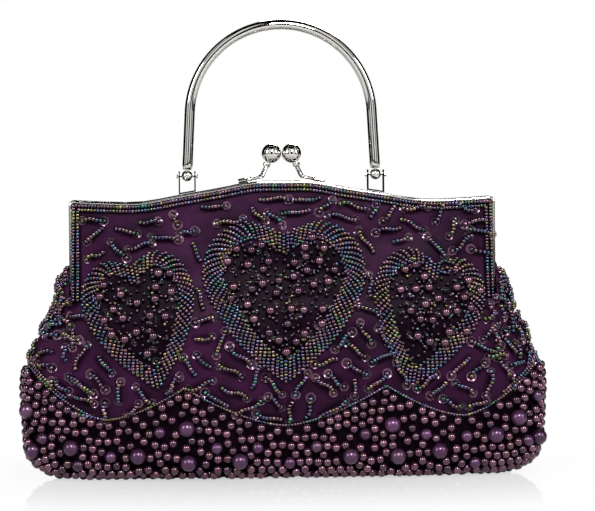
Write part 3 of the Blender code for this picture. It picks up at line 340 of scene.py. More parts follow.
# Each heart in the front view: place, tip, half-width, height, lean in degrees
HEARTS = (
    ("left", (-0.0665, 0.0485), 0.0290, 0.0700, 12.0),
    ("middle", (0.0003, 0.0505), 0.0425, 0.0840, 0.0),
    ("right", (0.0665, 0.0485), 0.0290, 0.0700, -12.0),
)
HEART_SLANT_SHARE = 0.80
HEART_TWIST_SHARE = 0.30
HEART_BEAD_SHARE = 1.03
HEART_BEAD_PITCH = 0.00172
HEART_ROW_GAP = 0.00220
HEART_LEAST_GAP = 0.00155
HEART_POINTS = 200
HEART_ROW_LEAST = 4
HEART_ROW_POINTS = 24
HEART_CROWN_SHARES = (0.15, 0.85)

# Pearls sewn inside each heart, in pixels of the photograph
LEFT_HEART_PEARLS = (
    (105.0, 283.1), (101.3, 294.4), (121.4, 292.2), (137.5, 300.7), (155.5, 285.2), (158.6, 271.2),
    (169.8, 271.2), (170.9, 290.1), (154.8, 297.2), (114.1, 306.6), (105.2, 316.8), (123.5, 315.0),
    (149.9, 312.6), (164.9, 313.3), (112.3, 330.1), (124.9, 334.3), (136.4, 327.2), (152.7, 331.3),
    (146.9, 348.4),
)
MIDDLE_HEART_PEARLS = (
    (236.1, 248.3), (250.6, 248.8), (260.7, 243.8), (227.0, 260.3), (246.9, 263.8), (261.8, 268.7),
    (267.3, 260.7), (293.0, 261.4), (303.5, 246.6), (310.8, 237.5), (322.4, 248.3), (304.5, 255.8),
    (317.9, 260.0), (305.6, 269.8), (332.5, 269.4), (232.6, 285.9), (250.6, 288.0), (261.0, 283.1),
    (291.8, 276.8), (277.2, 280.7), (311.5, 285.0), (326.2, 282.1), (229.4, 297.2), (245.9, 303.2),
    (274.7, 292.2), (296.2, 291.3), (268.4, 308.8), (289.2, 307.0), (301.4, 308.4), (320.0, 308.0),
    (251.8, 316.8), (285.2, 321.4), (318.9, 321.0), (266.6, 329.9), (301.6, 330.8), (276.1, 337.1),
    (293.0, 338.8), (283.4, 348.4),
)
RIGHT_HEART_PEARLS = (
    (413.0, 265.2), (402.9, 270.2), (421.7, 278.2), (425.9, 289.4), (397.8, 291.1), (412.7, 290.8),
    (434.4, 300.0), (421.4, 305.2), (406.7, 310.8), (416.1, 318.2), (428.0, 319.2), (441.7, 312.6),
    (452.3, 311.5), (466.3, 309.1), (460.0, 299.3), (453.4, 289.7), (465.3, 282.8), (476.5, 293.0),
    (462.1, 331.3), (444.5, 331.3), (413.3, 334.3), (425.3, 340.4), (440.3, 341.8),
)

# Large and medium pearls of the base, in pixels of the photograph
LARGE_PEARLS = (
    (31.6, 444.9), (26.7, 405.6), (70.2, 441.4), (136.1, 449.8), (184.5, 423.1), (185.9, 457.5),
    (236.8, 456.1), (346.3, 452.6), (387.7, 421.7), (393.0, 453.3), (434.6, 448.4), (491.1, 434.0),
    (514.4, 417.6), (536.0, 438.2),
)
MEDIUM_PEARLS = (
    (42.1, 432.7), (76.8, 458.9), (109.4, 450.5), (157.9, 426.6), (214.0, 442.8), (254.4, 442.8),
    (285.9, 458.2), (312.6, 442.5), (360.6, 430.9), (421.1, 432.0), (461.6, 434.7), (470.1, 461.5),
    (524.0, 440.9), (534.3, 397.0),
)

# Raised stalks of seed beads with sequins at their ends: first end, then second, in pixels
STALKS = (
    (83, 218, 104.5, 217), (103, 226, 88, 240), (116.5, 226, 139, 232), (111, 240, 127, 254),
    (104, 250, 88, 256.5), (142, 221, 160, 219), (152, 235, 177, 239), (130.5, 246, 151.5, 242),
    (175, 213, 179, 223.5), (181, 233, 195, 230), (194, 242, 198, 260), (199, 287, 200, 306),
    (194, 320, 212, 315), (194, 334, 210.5, 333), (194, 350, 208, 362), (181, 353, 192, 369),
    (175, 373, 167, 388), (119, 375, 118, 395), (135, 381, 151.5, 397.5), (92, 368, 107, 383.5),
    (87, 343, 77, 361), (98, 353, 111, 369), (70, 372, 91, 388), (202.5, 207, 226, 205),
    (218, 222, 243, 217), (252, 208, 261, 219), (261, 198, 287, 200), (267, 212, 280, 223.5),
    (281, 214, 308, 210), (295, 201, 319, 198), (317.5, 212, 331, 200), (339, 204, 364, 209.5),
    (329, 214, 355, 221), (376, 207, 369, 218), (393, 208, 382, 221), (361, 233, 371, 252),
    (375, 234, 397.5, 229), (367, 277, 367, 298), (357, 305, 376, 313), (355, 322, 368, 341),
    (375, 326, 386, 341), (348, 330, 331.5, 346), (346, 341, 361, 354), (369, 361, 392, 351),
    (343, 361, 362, 371), (312, 362, 334, 355), (326, 369, 341, 383.5), (383.5, 372, 365, 383.5),
    (351, 378, 350, 393), (313, 376, 329, 392), (302, 372, 292, 392), (264, 375, 278, 388),
    (256, 364, 250, 383.5), (228, 343, 247, 362), (218, 360, 240, 374), (223.5, 329, 214, 351),
    (219, 383.5, 243, 393), (188, 384, 209.5, 375), (204, 388, 225, 401), (235, 408, 257, 396.5),
    (253, 410.5, 277, 415), (264, 392, 278, 403.5), (288, 398, 288, 416), (308, 395, 304, 413),
    (316, 412, 340, 398), (46, 394, 53, 374), (56, 375, 69, 384), (74, 375, 93, 387),
    (73, 391, 93, 399), (67, 402, 90, 412), (104, 396.5, 105, 413), (125, 408, 137.5, 399),
    (166, 387, 178, 373), (401, 219, 421, 230.5), (442, 208, 433, 222), (456, 221, 449, 237.5),
    (464, 225, 484, 221), (428, 237.5, 442, 256), (467, 237.5, 450, 252), (471, 230.5, 491, 236),
    (471, 250, 491, 256), (402, 209.5, 428, 209.5), (454, 205, 477, 209.5), (503.5, 309, 509, 331.5),
    (496.5, 324.5, 478, 341), (499, 337, 512, 353), (467, 343, 489, 351), (464, 357, 447, 374),
    (482, 361, 466, 375), (495, 358, 505, 375), (391, 361, 401, 381), (432, 374, 411, 388),
    (440, 381, 425, 393), (452, 382, 468, 392), (488, 372, 481, 395), (509, 375, 510, 390),
    (439, 397, 454, 405), (464, 405, 481.5, 401),
)

# Tints: sRGB code and how often it comes
IRIS_TINTS = ("76586a", "5c4c7c", "3e5a76", "3c7064", "64744a", "84784e", "7c5262")
IRIS_WAVES = ((260.0, 0.0, 90.0), (-150.0, 0.0, 330.0))
IRIS_DRIFT = 0.16
IRIS_SCATTER = 0.17
IRIS_SPREAD = 0.35
IRIS_LEVEL_SHARE = 0.60
DARK_SEED_TINTS = (("301c2a", 6), ("241420", 6), ("402434", 2), ("2c2230", 1), ("180c14", 5))
PEARL_TINTS = (("664452", 6), ("6a4a5a", 4), ("5a3a4e", 5), ("724e60", 3), ("4c3244", 3))
GREAT_PEARL_TINTS = (("583858", 5), ("4c2e4c", 3), ("644460", 2))
SEQUIN_TINTS = (("62405a", 5), ("744c66", 3), ("442a40", 5), ("845a72", 1))
DARK_SEQUIN_TINTS = (("2a1824", 5), ("1c1018", 5), ("4a2e40", 1))


def photo_places(pixels):
    """Distance from the middle and height for (column, row) pairs of the photograph."""
    places = np.array(pixels, dtype=float) - (MIDDLE_PIXEL, FLOOR_PIXEL)
    return places * (METRES_PER_PIXEL, -METRES_PER_PIXEL)


STALK_ENDS = photo_places(np.reshape(STALKS, (-1, 2, 2)))


def smooth_value(place, table, column):
    """Values between the rows of a table, on a curve that passes through each of them."""
    places, values = np.array(table)[:, 0], np.array(table)[:, column]
    slopes = np.gradient(values, places)
    place = np.clip(place, places[0], places[-1])
    index = np.clip(np.searchsorted(places, place) - 1, 0, len(places) - 2)
    width = places[index + 1] - places[index]
    t = (place - places[index]) / width
    ease = t * t * (3 - 2 * t)
    bend = width * (slopes[index] * t * (1 - t) ** 2 - slopes[index + 1] * t * t * (1 - t))
    return values[index] * (1 - ease) + values[index + 1] * ease + bend


def ramp(value, low, high):
    """0 below low, 1 above high and a smooth rise between them."""
    t = np.clip((value - low) / (high - low), 0.0, 1.0)
    return t * t * (3 - 2 * t)


def frame_top(x):
    """Height of the frame's upper outer edge."""
    return SHOULDER_HEIGHT + CROWN_RISE * smooth_value(np.abs(x) / HALF_FRAME, FRAME_TOP_SHARES, 1)


def full_section(z):
    """Half-width and half-depth of the satin at a height, before the base corner is rounded off."""
    share = np.asarray(z) / HINGE_HEIGHT
    width, depth = (smooth_value(share, SACK_SECTION_SHARES, column) for column in (1, 2))
    return SATIN_HALF_WIDTH * width, SATIN_HALF_DEPTH * depth


def sack_section(z):
    """Half-width and half-depth of the satin at a height."""
    width, depth = full_section(z)
    drop = np.clip((BASE_CENTRE - z) / BASE_CORNER_Z, 0.0, 1.0)
    round_off = 1 - np.sqrt(1 - drop**2)
    return width - BASE_CORNER_X * round_off, depth - BASE_CORNER_Y * round_off


def folds(x, z):
    """Soft level folds of the satin, as a small push outwards."""
    ends = ramp(np.abs(x) / sack_section(z)[0], *FOLD_END_SHARES)
    mask = ramp(z, *FOLD_LOW) * (1 - ramp(z, *FOLD_HIGH)) * (1 - ends)
    main, sway, second, slant = FOLD_WAVES
    wave = np.sin(main * z + 3.0 * np.sin(sway * x)) + 0.7 * np.sin(second * z - slant * x + 1.3)
    return FOLD_HEIGHT * mask * wave


def face_depth(x, z):
    """Depth of the satin's front face: the sack, then the panel that the frame holds."""
    width, depth = sack_section(z)
    sack = depth * (1 - np.clip(np.abs(x) / width, 0.0, 1.0) ** SECTION_POWER) ** (1 / SECTION_POWER)
    top = frame_top(x) - PANEL_TOP_INSET
    down = np.clip((top - z) / (top - PANEL_FOOT), 0.0, 1.15)
    out = (1 - np.clip(np.abs(x) / PANEL_HALF_WIDTH, 0.0, 1.0) ** PANEL_POWER) ** (1 / PANEL_POWER)
    past = (np.abs(x) - PANEL_HALF_WIDTH) / np.maximum(width - PANEL_HALF_WIDTH, SEED_RADIUS)
    panel = (PANEL_EDGE_Y + PANEL_BULGE * out * down) * np.sqrt(1 - np.clip(past, 0.0, 1.0) ** 2)
    share = ramp(z, FOLD_START, FOLD_END)
    return -(sack * (1 - share) + panel * share + folds(x, z))


def unit(vectors):
    """Vectors of length one."""
    return vectors / np.maximum(np.linalg.norm(vectors, axis=-1, keepdims=True), 1e-12)


def on_face(flat):
    """Points of the front face at (x, z) places, and the directions outwards there."""
    x, z = flat[..., 0], flat[..., 1]
    slope_x = (face_depth(x + FACE_STEP, z) - face_depth(x - FACE_STEP, z)) / (2 * FACE_STEP)
    slope_z = (face_depth(x, z + FACE_STEP) - face_depth(x, z - FACE_STEP)) / (2 * FACE_STEP)
    normals = unit(np.stack((slope_x, -np.ones_like(x), slope_z), axis=-1))
    return np.stack((x, face_depth(x, z), z), axis=-1), normals


def lifted(flat, lift):
    """Points over the front face by a given height, and the directions outwards."""
    places, normals = on_face(flat)
    return places + normals * np.asarray(lift)[..., None], normals


def oval(turn, z):
    """Points of the sack's front half by the turn round its oval section, -90 to 90 degrees."""
    width, depth = sack_section(z)
    across = np.sin(turn)
    out = np.maximum(0.0, 1 - np.abs(across) ** SECTION_POWER) ** (1 / SECTION_POWER)
    return np.stack((width * across, -depth * out, z + np.zeros_like(across)), axis=-1)


def on_oval(turn, z):
    """Points of the sack's front half and the directions outwards there."""
    low, high = (np.clip(turn + step, -RIGHT_ANGLE, RIGHT_ANGLE) for step in (-OVAL_TURN, OVAL_TURN))
    around = oval(high, z) - oval(low, z)
    upward = oval(turn, z + OVAL_RISE) - oval(turn, np.maximum(z - OVAL_RISE, BAND_OFFSET))
    return oval(turn, z), unit(np.cross(around, upward))


def scallop_height(x):
    """Height of the pearls' upper edge."""
    x = np.abs(x)
    middle = SCALLOP_MIDDLE_LOW + (SCALLOP_CUSP_HEIGHT - SCALLOP_MIDDLE_LOW) * (
        np.clip(x / SCALLOP_CUSP_X, 0.0, 1.0) ** SCALLOP_POWER
    )
    inner = np.clip((SCALLOP_SIDE_X - x) / (SCALLOP_SIDE_X - SCALLOP_CUSP_X), 0.0, 1.0)
    outer = np.clip((x - SCALLOP_SIDE_X) / (BAND_HALF_WIDTH - SCALLOP_SIDE_X), 0.0, 1.0)
    side = SCALLOP_SIDE_LOW + (SCALLOP_CUSP_HEIGHT - SCALLOP_SIDE_LOW) * inner**SCALLOP_POWER
    end = SCALLOP_SIDE_LOW + (SCALLOP_END_HEIGHT - SCALLOP_SIDE_LOW) * outer**SCALLOP_POWER
    return np.where(x < SCALLOP_CUSP_X, middle, np.where(x < SCALLOP_SIDE_X, side, end))


def satin_scallop(x):
    """Height of the pearls' upper edge over a place on the satin, which is narrower than the band."""
    return scallop_height(x * BAND_HALF_WIDTH / SATIN_HALF_WIDTH)


def srgb(code):
    """A colour written as six hexadecimal digits, in Blender's linear numbers."""
    shares = [int(code[at : at + 2], 16) / 255 for at in (0, 2, 4)]
    return tuple(s / 12.92 if s <= 0.04045 else ((s + 0.055) / 1.055) ** 2.4 for s in shares)


def connect(tree, node, *inputs, **named):
    """Inputs of a node, in order or by name with _ for a space: values, sockets or nodes."""
    for key, value in (*enumerate(inputs), *named.items()):
        socket = node.inputs[key.replace("_", " ") if isinstance(key, str) else key]
        if isinstance(value, bpy.types.Node):
            value = value.outputs[0]
        if isinstance(value, bpy.types.NodeSocket):
            tree.links.new(value, socket)
        else:
            socket.default_value = value
    return node


def add(tree, kind, *inputs, own=(), **named):
    """A new shader node with settings of its own and its inputs."""
    made = tree.nodes.new(f"ShaderNode{kind}")
    for field, value in own:
        setattr(made, field, value)
    return connect(tree, made, *inputs, **named)


def bump(tree, scale, detail, strength, depth, **under):
    """A bump made from noise, over the one under it."""
    place = add(tree, "TexCoord").outputs["Object"]
    noise = add(tree, "TexNoise", Vector=place, Scale=scale, Detail=detail)
    return add(tree, "Bump", Height=noise, Strength=strength, Distance=depth, **under)


def tree_of(made, empty=True):
    """The node tree of a new material or world."""
    made.use_nodes = True
    if empty:
        made.node_tree.nodes.clear()
    return made.node_tree


def principled(name, normal=None, color=None, **values):
    """A Principled material, its tree, and its shader with the given values."""
    made = bpy.data.materials.new(name)
    tree = tree_of(made, empty=False)
    shader = connect(tree, tree.nodes["Principled BSDF"], **values)
    if normal:
        connect(tree, shader, Normal=bump(tree, *normal))
    if color:
        connect(tree, shader, Base_Color=(*srgb(color), 1.0))
    return made, tree, shader


def satin_material():
    """Woven satin: violet, with a soft sheen, a fine weave and shallow creases, times the painted shade held
    in each point's tint.
    """
    made, tree, shader = principled("purple_satin_woven", Roughness=0.45, Specular_IOR_Level=0.04)
    place = add(tree, "TexCoord").outputs["Object"]
    tone = add(tree, "ValToRGB", add(tree, "TexNoise", Vector=place, **SATIN_CLOUD))
    for stop, (position, code) in zip(tone.color_ramp.elements, SATIN_TONES):
        stop.position = position
        stop.color = (*srgb(code), 1.0)
    # Painted shade from the tint attribute, multiplied into the satin's colour
    painted_shade = add(tree, "Attribute", own=[("attribute_name", "tint")])
    mixed = add(tree, "Mix", 1.0, own=[("data_type", "RGBA"), ("blend_type", "MULTIPLY")])
    for source, at in ((tone, 6), (painted_shade, 7)):
        tree.links.new(source.outputs[0], mixed.inputs[at])
    fine = bump(tree, *SATIN_WEAVE)
    connect(tree, shader, Base_Color=mixed.outputs[2], Normal=bump(tree, *SATIN_CREASES, Normal=fine))
    return made


def tinted_material(name, metallic, roughness, coat, alpha=1.0):
    """Coated glass whose colour comes from each bead's own tint, which on the stalks' sequins also holds
    painted light: a darker centre and a painted rim highlight.
    """
    made, tree, shader = principled(name, Metallic=metallic, Roughness=roughness, Alpha=alpha)
    tint = add(tree, "Attribute", own=[("attribute_name", "tint")])
    connect(tree, shader, Base_Color=tint, Coat_Weight=coat, Coat_Roughness=0.05)
    return made


def mesh_object(name, points, faces, finish, tints=None):
    """An object of quads from arrays of points and corner numbers."""
    mesh = bpy.data.meshes.new(name)
    mesh.vertices.add(len(points))
    mesh.vertices.foreach_set("co", np.ascontiguousarray(points, dtype=np.float32).ravel())
    mesh.loops.add(faces.size)
    mesh.loops.foreach_set("vertex_index", np.ascontiguousarray(faces, dtype=np.int32).ravel())
    mesh.polygons.add(len(faces))
    mesh.polygons.foreach_set("loop_start", np.arange(0, faces.size, faces.shape[1], dtype=np.int32))
    mesh.update(calc_edges=True)
    mesh.shade_smooth()
    if tints is not None:
        layer = mesh.color_attributes.new("tint", "FLOAT_COLOR", "POINT")
        layer.data.foreach_set("color", np.ascontiguousarray(tints, dtype=np.float32).ravel())
    mesh.materials.append(finish)
    obj = bpy.data.objects.new(name, mesh)
    bpy.context.scene.collection.objects.link(obj)
    return obj


def grid_faces(rows, columns, closed=False):
    """Quads between the points of a grid, row by row."""
    last = columns if closed else columns - 1
    row, column = np.meshgrid(np.arange(rows - 1), np.arange(last), indexing="ij")
    low = (row * columns + column).ravel()
    after = (row * columns + (column + 1) % columns).ravel()
    return np.stack((low, after, after + columns, low + columns), axis=1)


def on_side(side, points):
    """Points of the front as they are, or on the back after a half turn about the upright axis."""
    return points if side == FRONT else points * (-1.0, -1.0, 1.0)


def ring(count):
    """Points of a circle of radius one."""
    turns = np.linspace(0, 2 * math.pi, count, endpoint=False)
    return np.stack((np.cos(turns), np.sin(turns)), axis=1)


def sphere_shape(cuts):
    """A ball of radius one made of quads only, as a swollen cube."""
    line = np.tan(np.linspace(-1, 1, cuts + 1) * math.pi / 4)
    across, up = (grid.ravel() for grid in np.meshgrid(line, line))
    side = np.ones_like(across)
    sheets = []
    for sign in (-1.0, 1.0):
        sheets += [
            np.stack((sign * side, sign * across, up), axis=1),
            np.stack((-sign * across, sign * side, up), axis=1),
            np.stack((across, sign * up, sign * side), axis=1),
        ]
    points = unit(np.vstack(sheets))
    quads = np.vstack([grid_faces(cuts + 1, cuts + 1) + k * len(across) for k in range(6)])
    _, first, same = np.unique(np.round(points, 6), axis=0, return_index=True, return_inverse=True)
    return points[first], same.ravel()[quads]


def bead_shape():
    """A seed bead: a short barrel with a round hole, its hole along X."""
    profile = ((-0.5, 0.42), (-0.42, 0.86), (0.0, 1.0), (0.42, 0.86), (0.5, 0.42))
    rows = [np.column_stack((np.full(8, x * SEED_LENGTH), ring(8) * out * SEED_RADIUS)) for x, out in profile]
    return np.vstack(rows), grid_faces(len(rows) + 1, 8, closed=True) % (len(rows) * 8)


def sequin_shape():
    """A cupped sequin of radius one with a small hole, facing Z."""
    outs = [row[0] for row in SEQUIN_RINGS_AND_PAINTED_LIGHT]
    rows = [np.column_stack((ring(12) * out, np.full(12, SEQUIN_CUP_SHARE * out**2))) for out in outs]
    return np.vstack(rows), grid_faces(len(rows), 12, closed=True)[:, ::-1]


def scatter(name, shape, spots, finish, tints, sizes=1.0, painted_shades=1.0):
    """One mesh of many copies of a shape, each with its own place, direction, size and tint, times painted
    light over the shape's points.
    """
    points, faces = shape
    places, along, normals = spots
    along = unit(along - np.sum(along * normals, axis=1, keepdims=True) * normals)
    turns = np.stack((along, np.cross(normals, along), normals), axis=2)
    sizes = np.broadcast_to(np.asarray(sizes, dtype=float), (len(places),))
    made = np.einsum("nij,vj->nvi", turns, points) * sizes[:, None, None] + places[:, None, :]
    corners = faces[None] + (np.arange(len(places)) * len(points))[:, None, None]
    colours = np.ones((len(places), len(points), 4))
    colours[:, :, :3] = tints[:, None, :] * np.broadcast_to(painted_shades, (len(points),))[None, :, None]
    return mesh_object(name, made.reshape(-1, 3), corners.reshape(-1, 4), finish, colours.reshape(-1, 4))


def pick_tints(rng, choices, count, spread=0.25):
    """A colour for each of count beads, from (hex code, weight) pairs, a little lighter or darker."""
    codes = np.array([srgb(code) for code, weight in choices])
    weights = np.array([weight for code, weight in choices], dtype=float)
    picked = codes[rng.choice(len(codes), count, p=weights / weights.sum())]
    return picked * (1 + spread * rng.uniform(-1, 1, (count, 1)))


def iris_tints(rng, places):
    """Tints of iris-coated beads: hues that drift along the bead work, with some from bead to bead."""
    codes = np.array([srgb(code) for code in IRIS_TINTS])
    first, second = (places @ np.array(wave) for wave in IRIS_WAVES)
    drift = np.sin(first + 1.3) + np.sin(second)
    value = (IRIS_DRIFT * drift + rng.normal(0, IRIS_SCATTER, len(places))) % 1.0 * len(codes)
    index = np.floor(value).astype(int) % len(codes)
    share = (value - np.floor(value))[:, None]
    colours = codes[index] * (1 - share) + codes[(index + 1) % len(codes)] * share
    return colours * np.exp(rng.normal(0, IRIS_SPREAD, (len(places), 1))) * IRIS_LEVEL_SHARE


def face_row(x, z, push=0.0):
    """A level row of points on the front face, or pushed back from it."""
    return np.stack((x, face_depth(x, z) + push, z + np.zeros_like(x)), axis=1)


def satin_panel(name, side, finish):
    """One face's satin from the base seam to the frame, in one piece."""
    edge = PANEL_HALF_WIDTH / sack_section(PANEL_FOOT)[0]
    inner = edge * np.sin(np.linspace(-RIGHT_ANGLE, RIGHT_ANGLE, SATIN_COLUMNS[0]))
    outer = edge + (1 - edge) * np.sin(np.linspace(0, RIGHT_ANGLE, SATIN_COLUMNS[1]))[1:]
    shares = np.concatenate((-outer[::-1], inner, outer))
    corner = BAND_OFFSET + BASE_CORNER_Z * (1 - np.cos(np.linspace(0, RIGHT_ANGLE, SATIN_ROWS[0])))
    heights = np.concatenate((corner, np.linspace(corner[-1], PANEL_FOOT, SATIN_ROWS[1])[1:]))
    rows = [face_row(shares * sack_section(z)[0], z) for z in heights]
    rows.insert(0, rows[0] * (1.0, 0.0, 1.0))
    x = inner * sack_section(PANEL_FOOT)[0]
    rise = frame_top(x) - PANEL_TOP_INSET - PANEL_FOOT
    upper = [face_row(x, PANEL_FOOT + rise * share) for share in np.linspace(0, 1, SATIN_ROWS[2])[1:]]
    start = len(rows) * len(shares)
    first = start - len(shares) + len(outer)
    line = np.arange(len(x) - 1)
    seam = np.stack((first + line, first + line + 1, start + line + 1, start + line), axis=1)
    faces = (grid_faces(len(rows), len(shares)), seam, grid_faces(len(upper), len(x)) + start)
    points = np.vstack((*rows, *upper))
    # Each point's tint on the satin is painted shade
    return mesh_object(name, on_side(side, points), np.vstack(faces), finish, painted_shade_tints(points))


def nearest(places, starts, ends):
    """Distance from each place to the nearest of the straight pieces from starts to ends."""
    best = np.full(len(places), np.inf)
    for start, end in zip(starts, ends):
        run = end - start
        share = np.clip((places - start) @ run / max(run @ run, 1e-12), 0.0, 1.0)
        best = np.minimum(best, np.linalg.norm(places - start - share[:, None] * run, axis=1))
    return best


def heart_axes(lean):
    """Directions across and up a heart that leans by some degrees."""
    turn = math.radians(lean)
    return np.array(((math.cos(turn), math.sin(turn)), (-math.sin(turn), math.cos(turn))))


def painted_shade_tints(points):
    """Painted shade on the satin, as each point's tint: darker under the pearls, beside the stalks, along the
    border strands under the rim and inside the hearts, and less green where it is dark.
    """
    flat = points[:, ::2]
    # Painted shade below the scallop, between the pearls
    below_edge = ramp(satin_scallop(flat[:, 0]) - flat[:, 1], *PAINTED_SHADE_EDGE)
    lines = [curve_through(shares, SHADE_CURVE_POINTS) for shares in (HEART_OUTER_SHARES, HEART_INNER_SHARES)]
    middle = sum(lines) / 2
    # Painted shade inside the hearts, between their pearls and beads
    hearts = np.zeros(len(flat))
    for _, tip, half_width, height, lean in HEARTS:
        across, up = ((flat - tip) @ heart_axes(lean).T / (half_width, height)).T
        width = np.interp(up, middle[::-1, 1], middle[::-1, 0], left=0.0, right=0.0)
        hearts = np.maximum(hearts, ramp(width - np.abs(across), 0.0, HEART_SHADE_SHARE))
    # Painted shadow beside the stalks
    stalk_shadow = 1 - ramp(nearest(flat, STALK_ENDS[:, 0], STALK_ENDS[:, 1]), 0.0, STALK_SHADE_REACH)
    # Painted shade along the border strands under the rim
    strands = frame_path(sum(BORDER_INSETS) / 2, PANEL_FOOT)
    edge = 1 - ramp(nearest(flat, strands[:-1], strands[1:]), BORDER_SHADE_REACH * 0.6, BORDER_SHADE_REACH)
    dark = np.array(PAINTED_SHADE_SHARES)[:, None] * (below_edge, hearts, stalk_shadow, edge)
    shade = 1 - PAINTED_SHADE_DEPTH * dark.max(axis=0)
    # Less green where the painted shade is dark, so that it stays purple
    return np.stack((shade, shade**PAINTED_SHADE_GREEN_POWER, shade, np.ones_like(shade)), axis=1)


def lining_panel(name, side, finish):
    """The lining inside one face, from the floor of the bag to the frame."""
    shares = np.sin(np.linspace(-RIGHT_ANGLE, RIGHT_ANGLE, LINING_COLUMNS))
    rows = []
    for z in np.linspace(BAND_OFFSET + LINING_FLOOR, PANEL_FOOT, LINING_ROWS[0]):
        width = sack_section(z)[0]
        row = face_row(shares * width, z, LINING_INSET)
        row[:, 0] *= 1 - LINING_INSET / width
        row[:, 1] = np.minimum(row[:, 1], -SEAM_HALF_GAP)
        rows.append(row)
    rows.insert(0, rows[0] * (1.0, 0.0, 1.0))
    x = shares * (PANEL_HALF_WIDTH - LINING_INSET)
    rise = frame_top(x) - PANEL_TOP_INSET - SEED_RADIUS - PANEL_FOOT
    above = np.linspace(0, 1, LINING_ROWS[1])[1:]
    rows += [face_row(x, PANEL_FOOT + rise * share, LINING_INSET) for share in above]
    return mesh_object(name, on_side(side, np.vstack(rows)), grid_faces(len(rows), len(shares)), finish)


def puff_point(turn, share):
    """Points of the right gusset outside the frame's leg, by turn from front to back and by height."""
    reach = PUFF_FOOT_X - PUFF_INNER_X + (PUFF_TIP_X - PUFF_FOOT_X) * share
    half_depth = PUFF_FOOT_Y + (PUFF_TIP_Y - PUFF_FOOT_Y) * share
    close = np.sqrt(np.clip(1 - share**4, 0.0, 1.0))
    x = PUFF_INNER_X + reach * np.cos(turn) ** 0.8 * (0.25 + 0.75 * close)
    z = PUFF_FOOT_Z + (PUFF_TOP - PUFF_FOOT_Z) * share
    return np.stack((x, half_depth * np.sin(turn) * close, z), axis=-1)


def end_puff(name, end, finish):
    """The soft gusset at one end, swelling up outside the frame's legs."""
    rows, columns = PUFF_GRID
    turn, share = np.meshgrid(np.linspace(-RIGHT_ANGLE, RIGHT_ANGLE, columns), np.linspace(0, 1, rows))
    points = on_side(-end, puff_point(turn, share).reshape(-1, 3))
    return mesh_object(name, points, grid_faces(rows, columns), finish, np.ones((len(points), 4)))


def lengths(points):
    """How far along a line each of its points lies."""
    return np.concatenate(([0.0], np.cumsum(np.linalg.norm(np.diff(points, axis=0), axis=1))))


def at_marks(marks, runs, points):
    """Points of a line at given distances along it."""
    return np.column_stack([np.interp(marks, runs, column) for column in np.transpose(points)])


def even(points, count):
    """The same line with its points at even distances."""
    runs = lengths(points)
    return at_marks(np.linspace(0.0, runs[-1], count), runs, points)


def walk(points, pitch):
    """Even places along a line, a pitch apart."""
    return even(points, max(2, int(round(lengths(points)[-1] / pitch)) + 1))


def curve_through(points, steps):
    """Points along a smooth curve through the given ones."""
    table = np.column_stack((np.arange(len(points)), points))
    fine = np.linspace(0, len(points) - 1, steps)
    return np.column_stack([smooth_value(fine, table, column) for column in (1, 2)])


def distances(places, others):
    """Distance of each place to each of the others."""
    return np.linalg.norm(places[:, None] - others[None], axis=2)


def frame_path(inset, foot):
    """The frame's outline from the left foot over the top to the right foot, moved inwards."""
    side = HALF_FRAME - inset
    radius = max(FRAME_CORNER_RADIUS - inset, LEAST_BEND)
    bend_x = side - radius
    bend_z = frame_top(bend_x) - inset - radius
    turns = np.radians(np.linspace(0, 90, 5))
    corner = np.stack((bend_x + radius * np.cos(turns), bend_z + radius * np.sin(turns)), axis=1)
    x = np.linspace(bend_x, 0, 60)[1:]
    over = np.stack((x, frame_top(x) - inset), axis=1)
    right = np.vstack(([side, foot], corner, over))
    left = right[:-1] * (-1.0, 1.0)
    return np.vstack((left, right[::-1]))


def along_surface(line):
    """Directions along a run of points in space."""
    return unit(np.gradient(line, axis=0))


def bead_run(flat, lift):
    """Beads over the face along a line of places: their centres, directions and ways outwards."""
    line, out = lifted(flat, lift)
    return line, along_surface(line), out


def gathered(side, runs):
    """Runs of (centres, directions, ways outwards) as one set, on the front or turned to the back."""
    return [on_side(side, np.vstack(part)) for part in zip(*runs)]


def border_beads(side, rng, finish):
    """Two strands of seed beads inside the frame's rim."""
    paths = [walk(frame_path(inset, PANEL_FOOT), SEED_PITCH) for inset in BORDER_INSETS]
    spots = gathered(side, [bead_run(path, SEED_LIFT) for path in paths])
    return scatter(f"{SIDE_NAMES[side]}_border_beads", bead_shape(), spots, finish, iris_tints(rng, spots[0]))


def heart_line(heart, shares, mirror):
    """Half of a heart's line from notch to tip, at even distances."""
    _, tip, half_width, height, lean = heart
    local = curve_through(shares, HEART_CURVE_POINTS) * (half_width * mirror, height)
    return even(tip + local @ heart_axes(lean), HEART_POINTS)


def heart_outline(heart, shares):
    """A heart's closed line."""
    left, right = (heart_line(heart, shares, mirror) for mirror in (-1.0, 1.0))
    return np.vstack((left, right[::-1]))


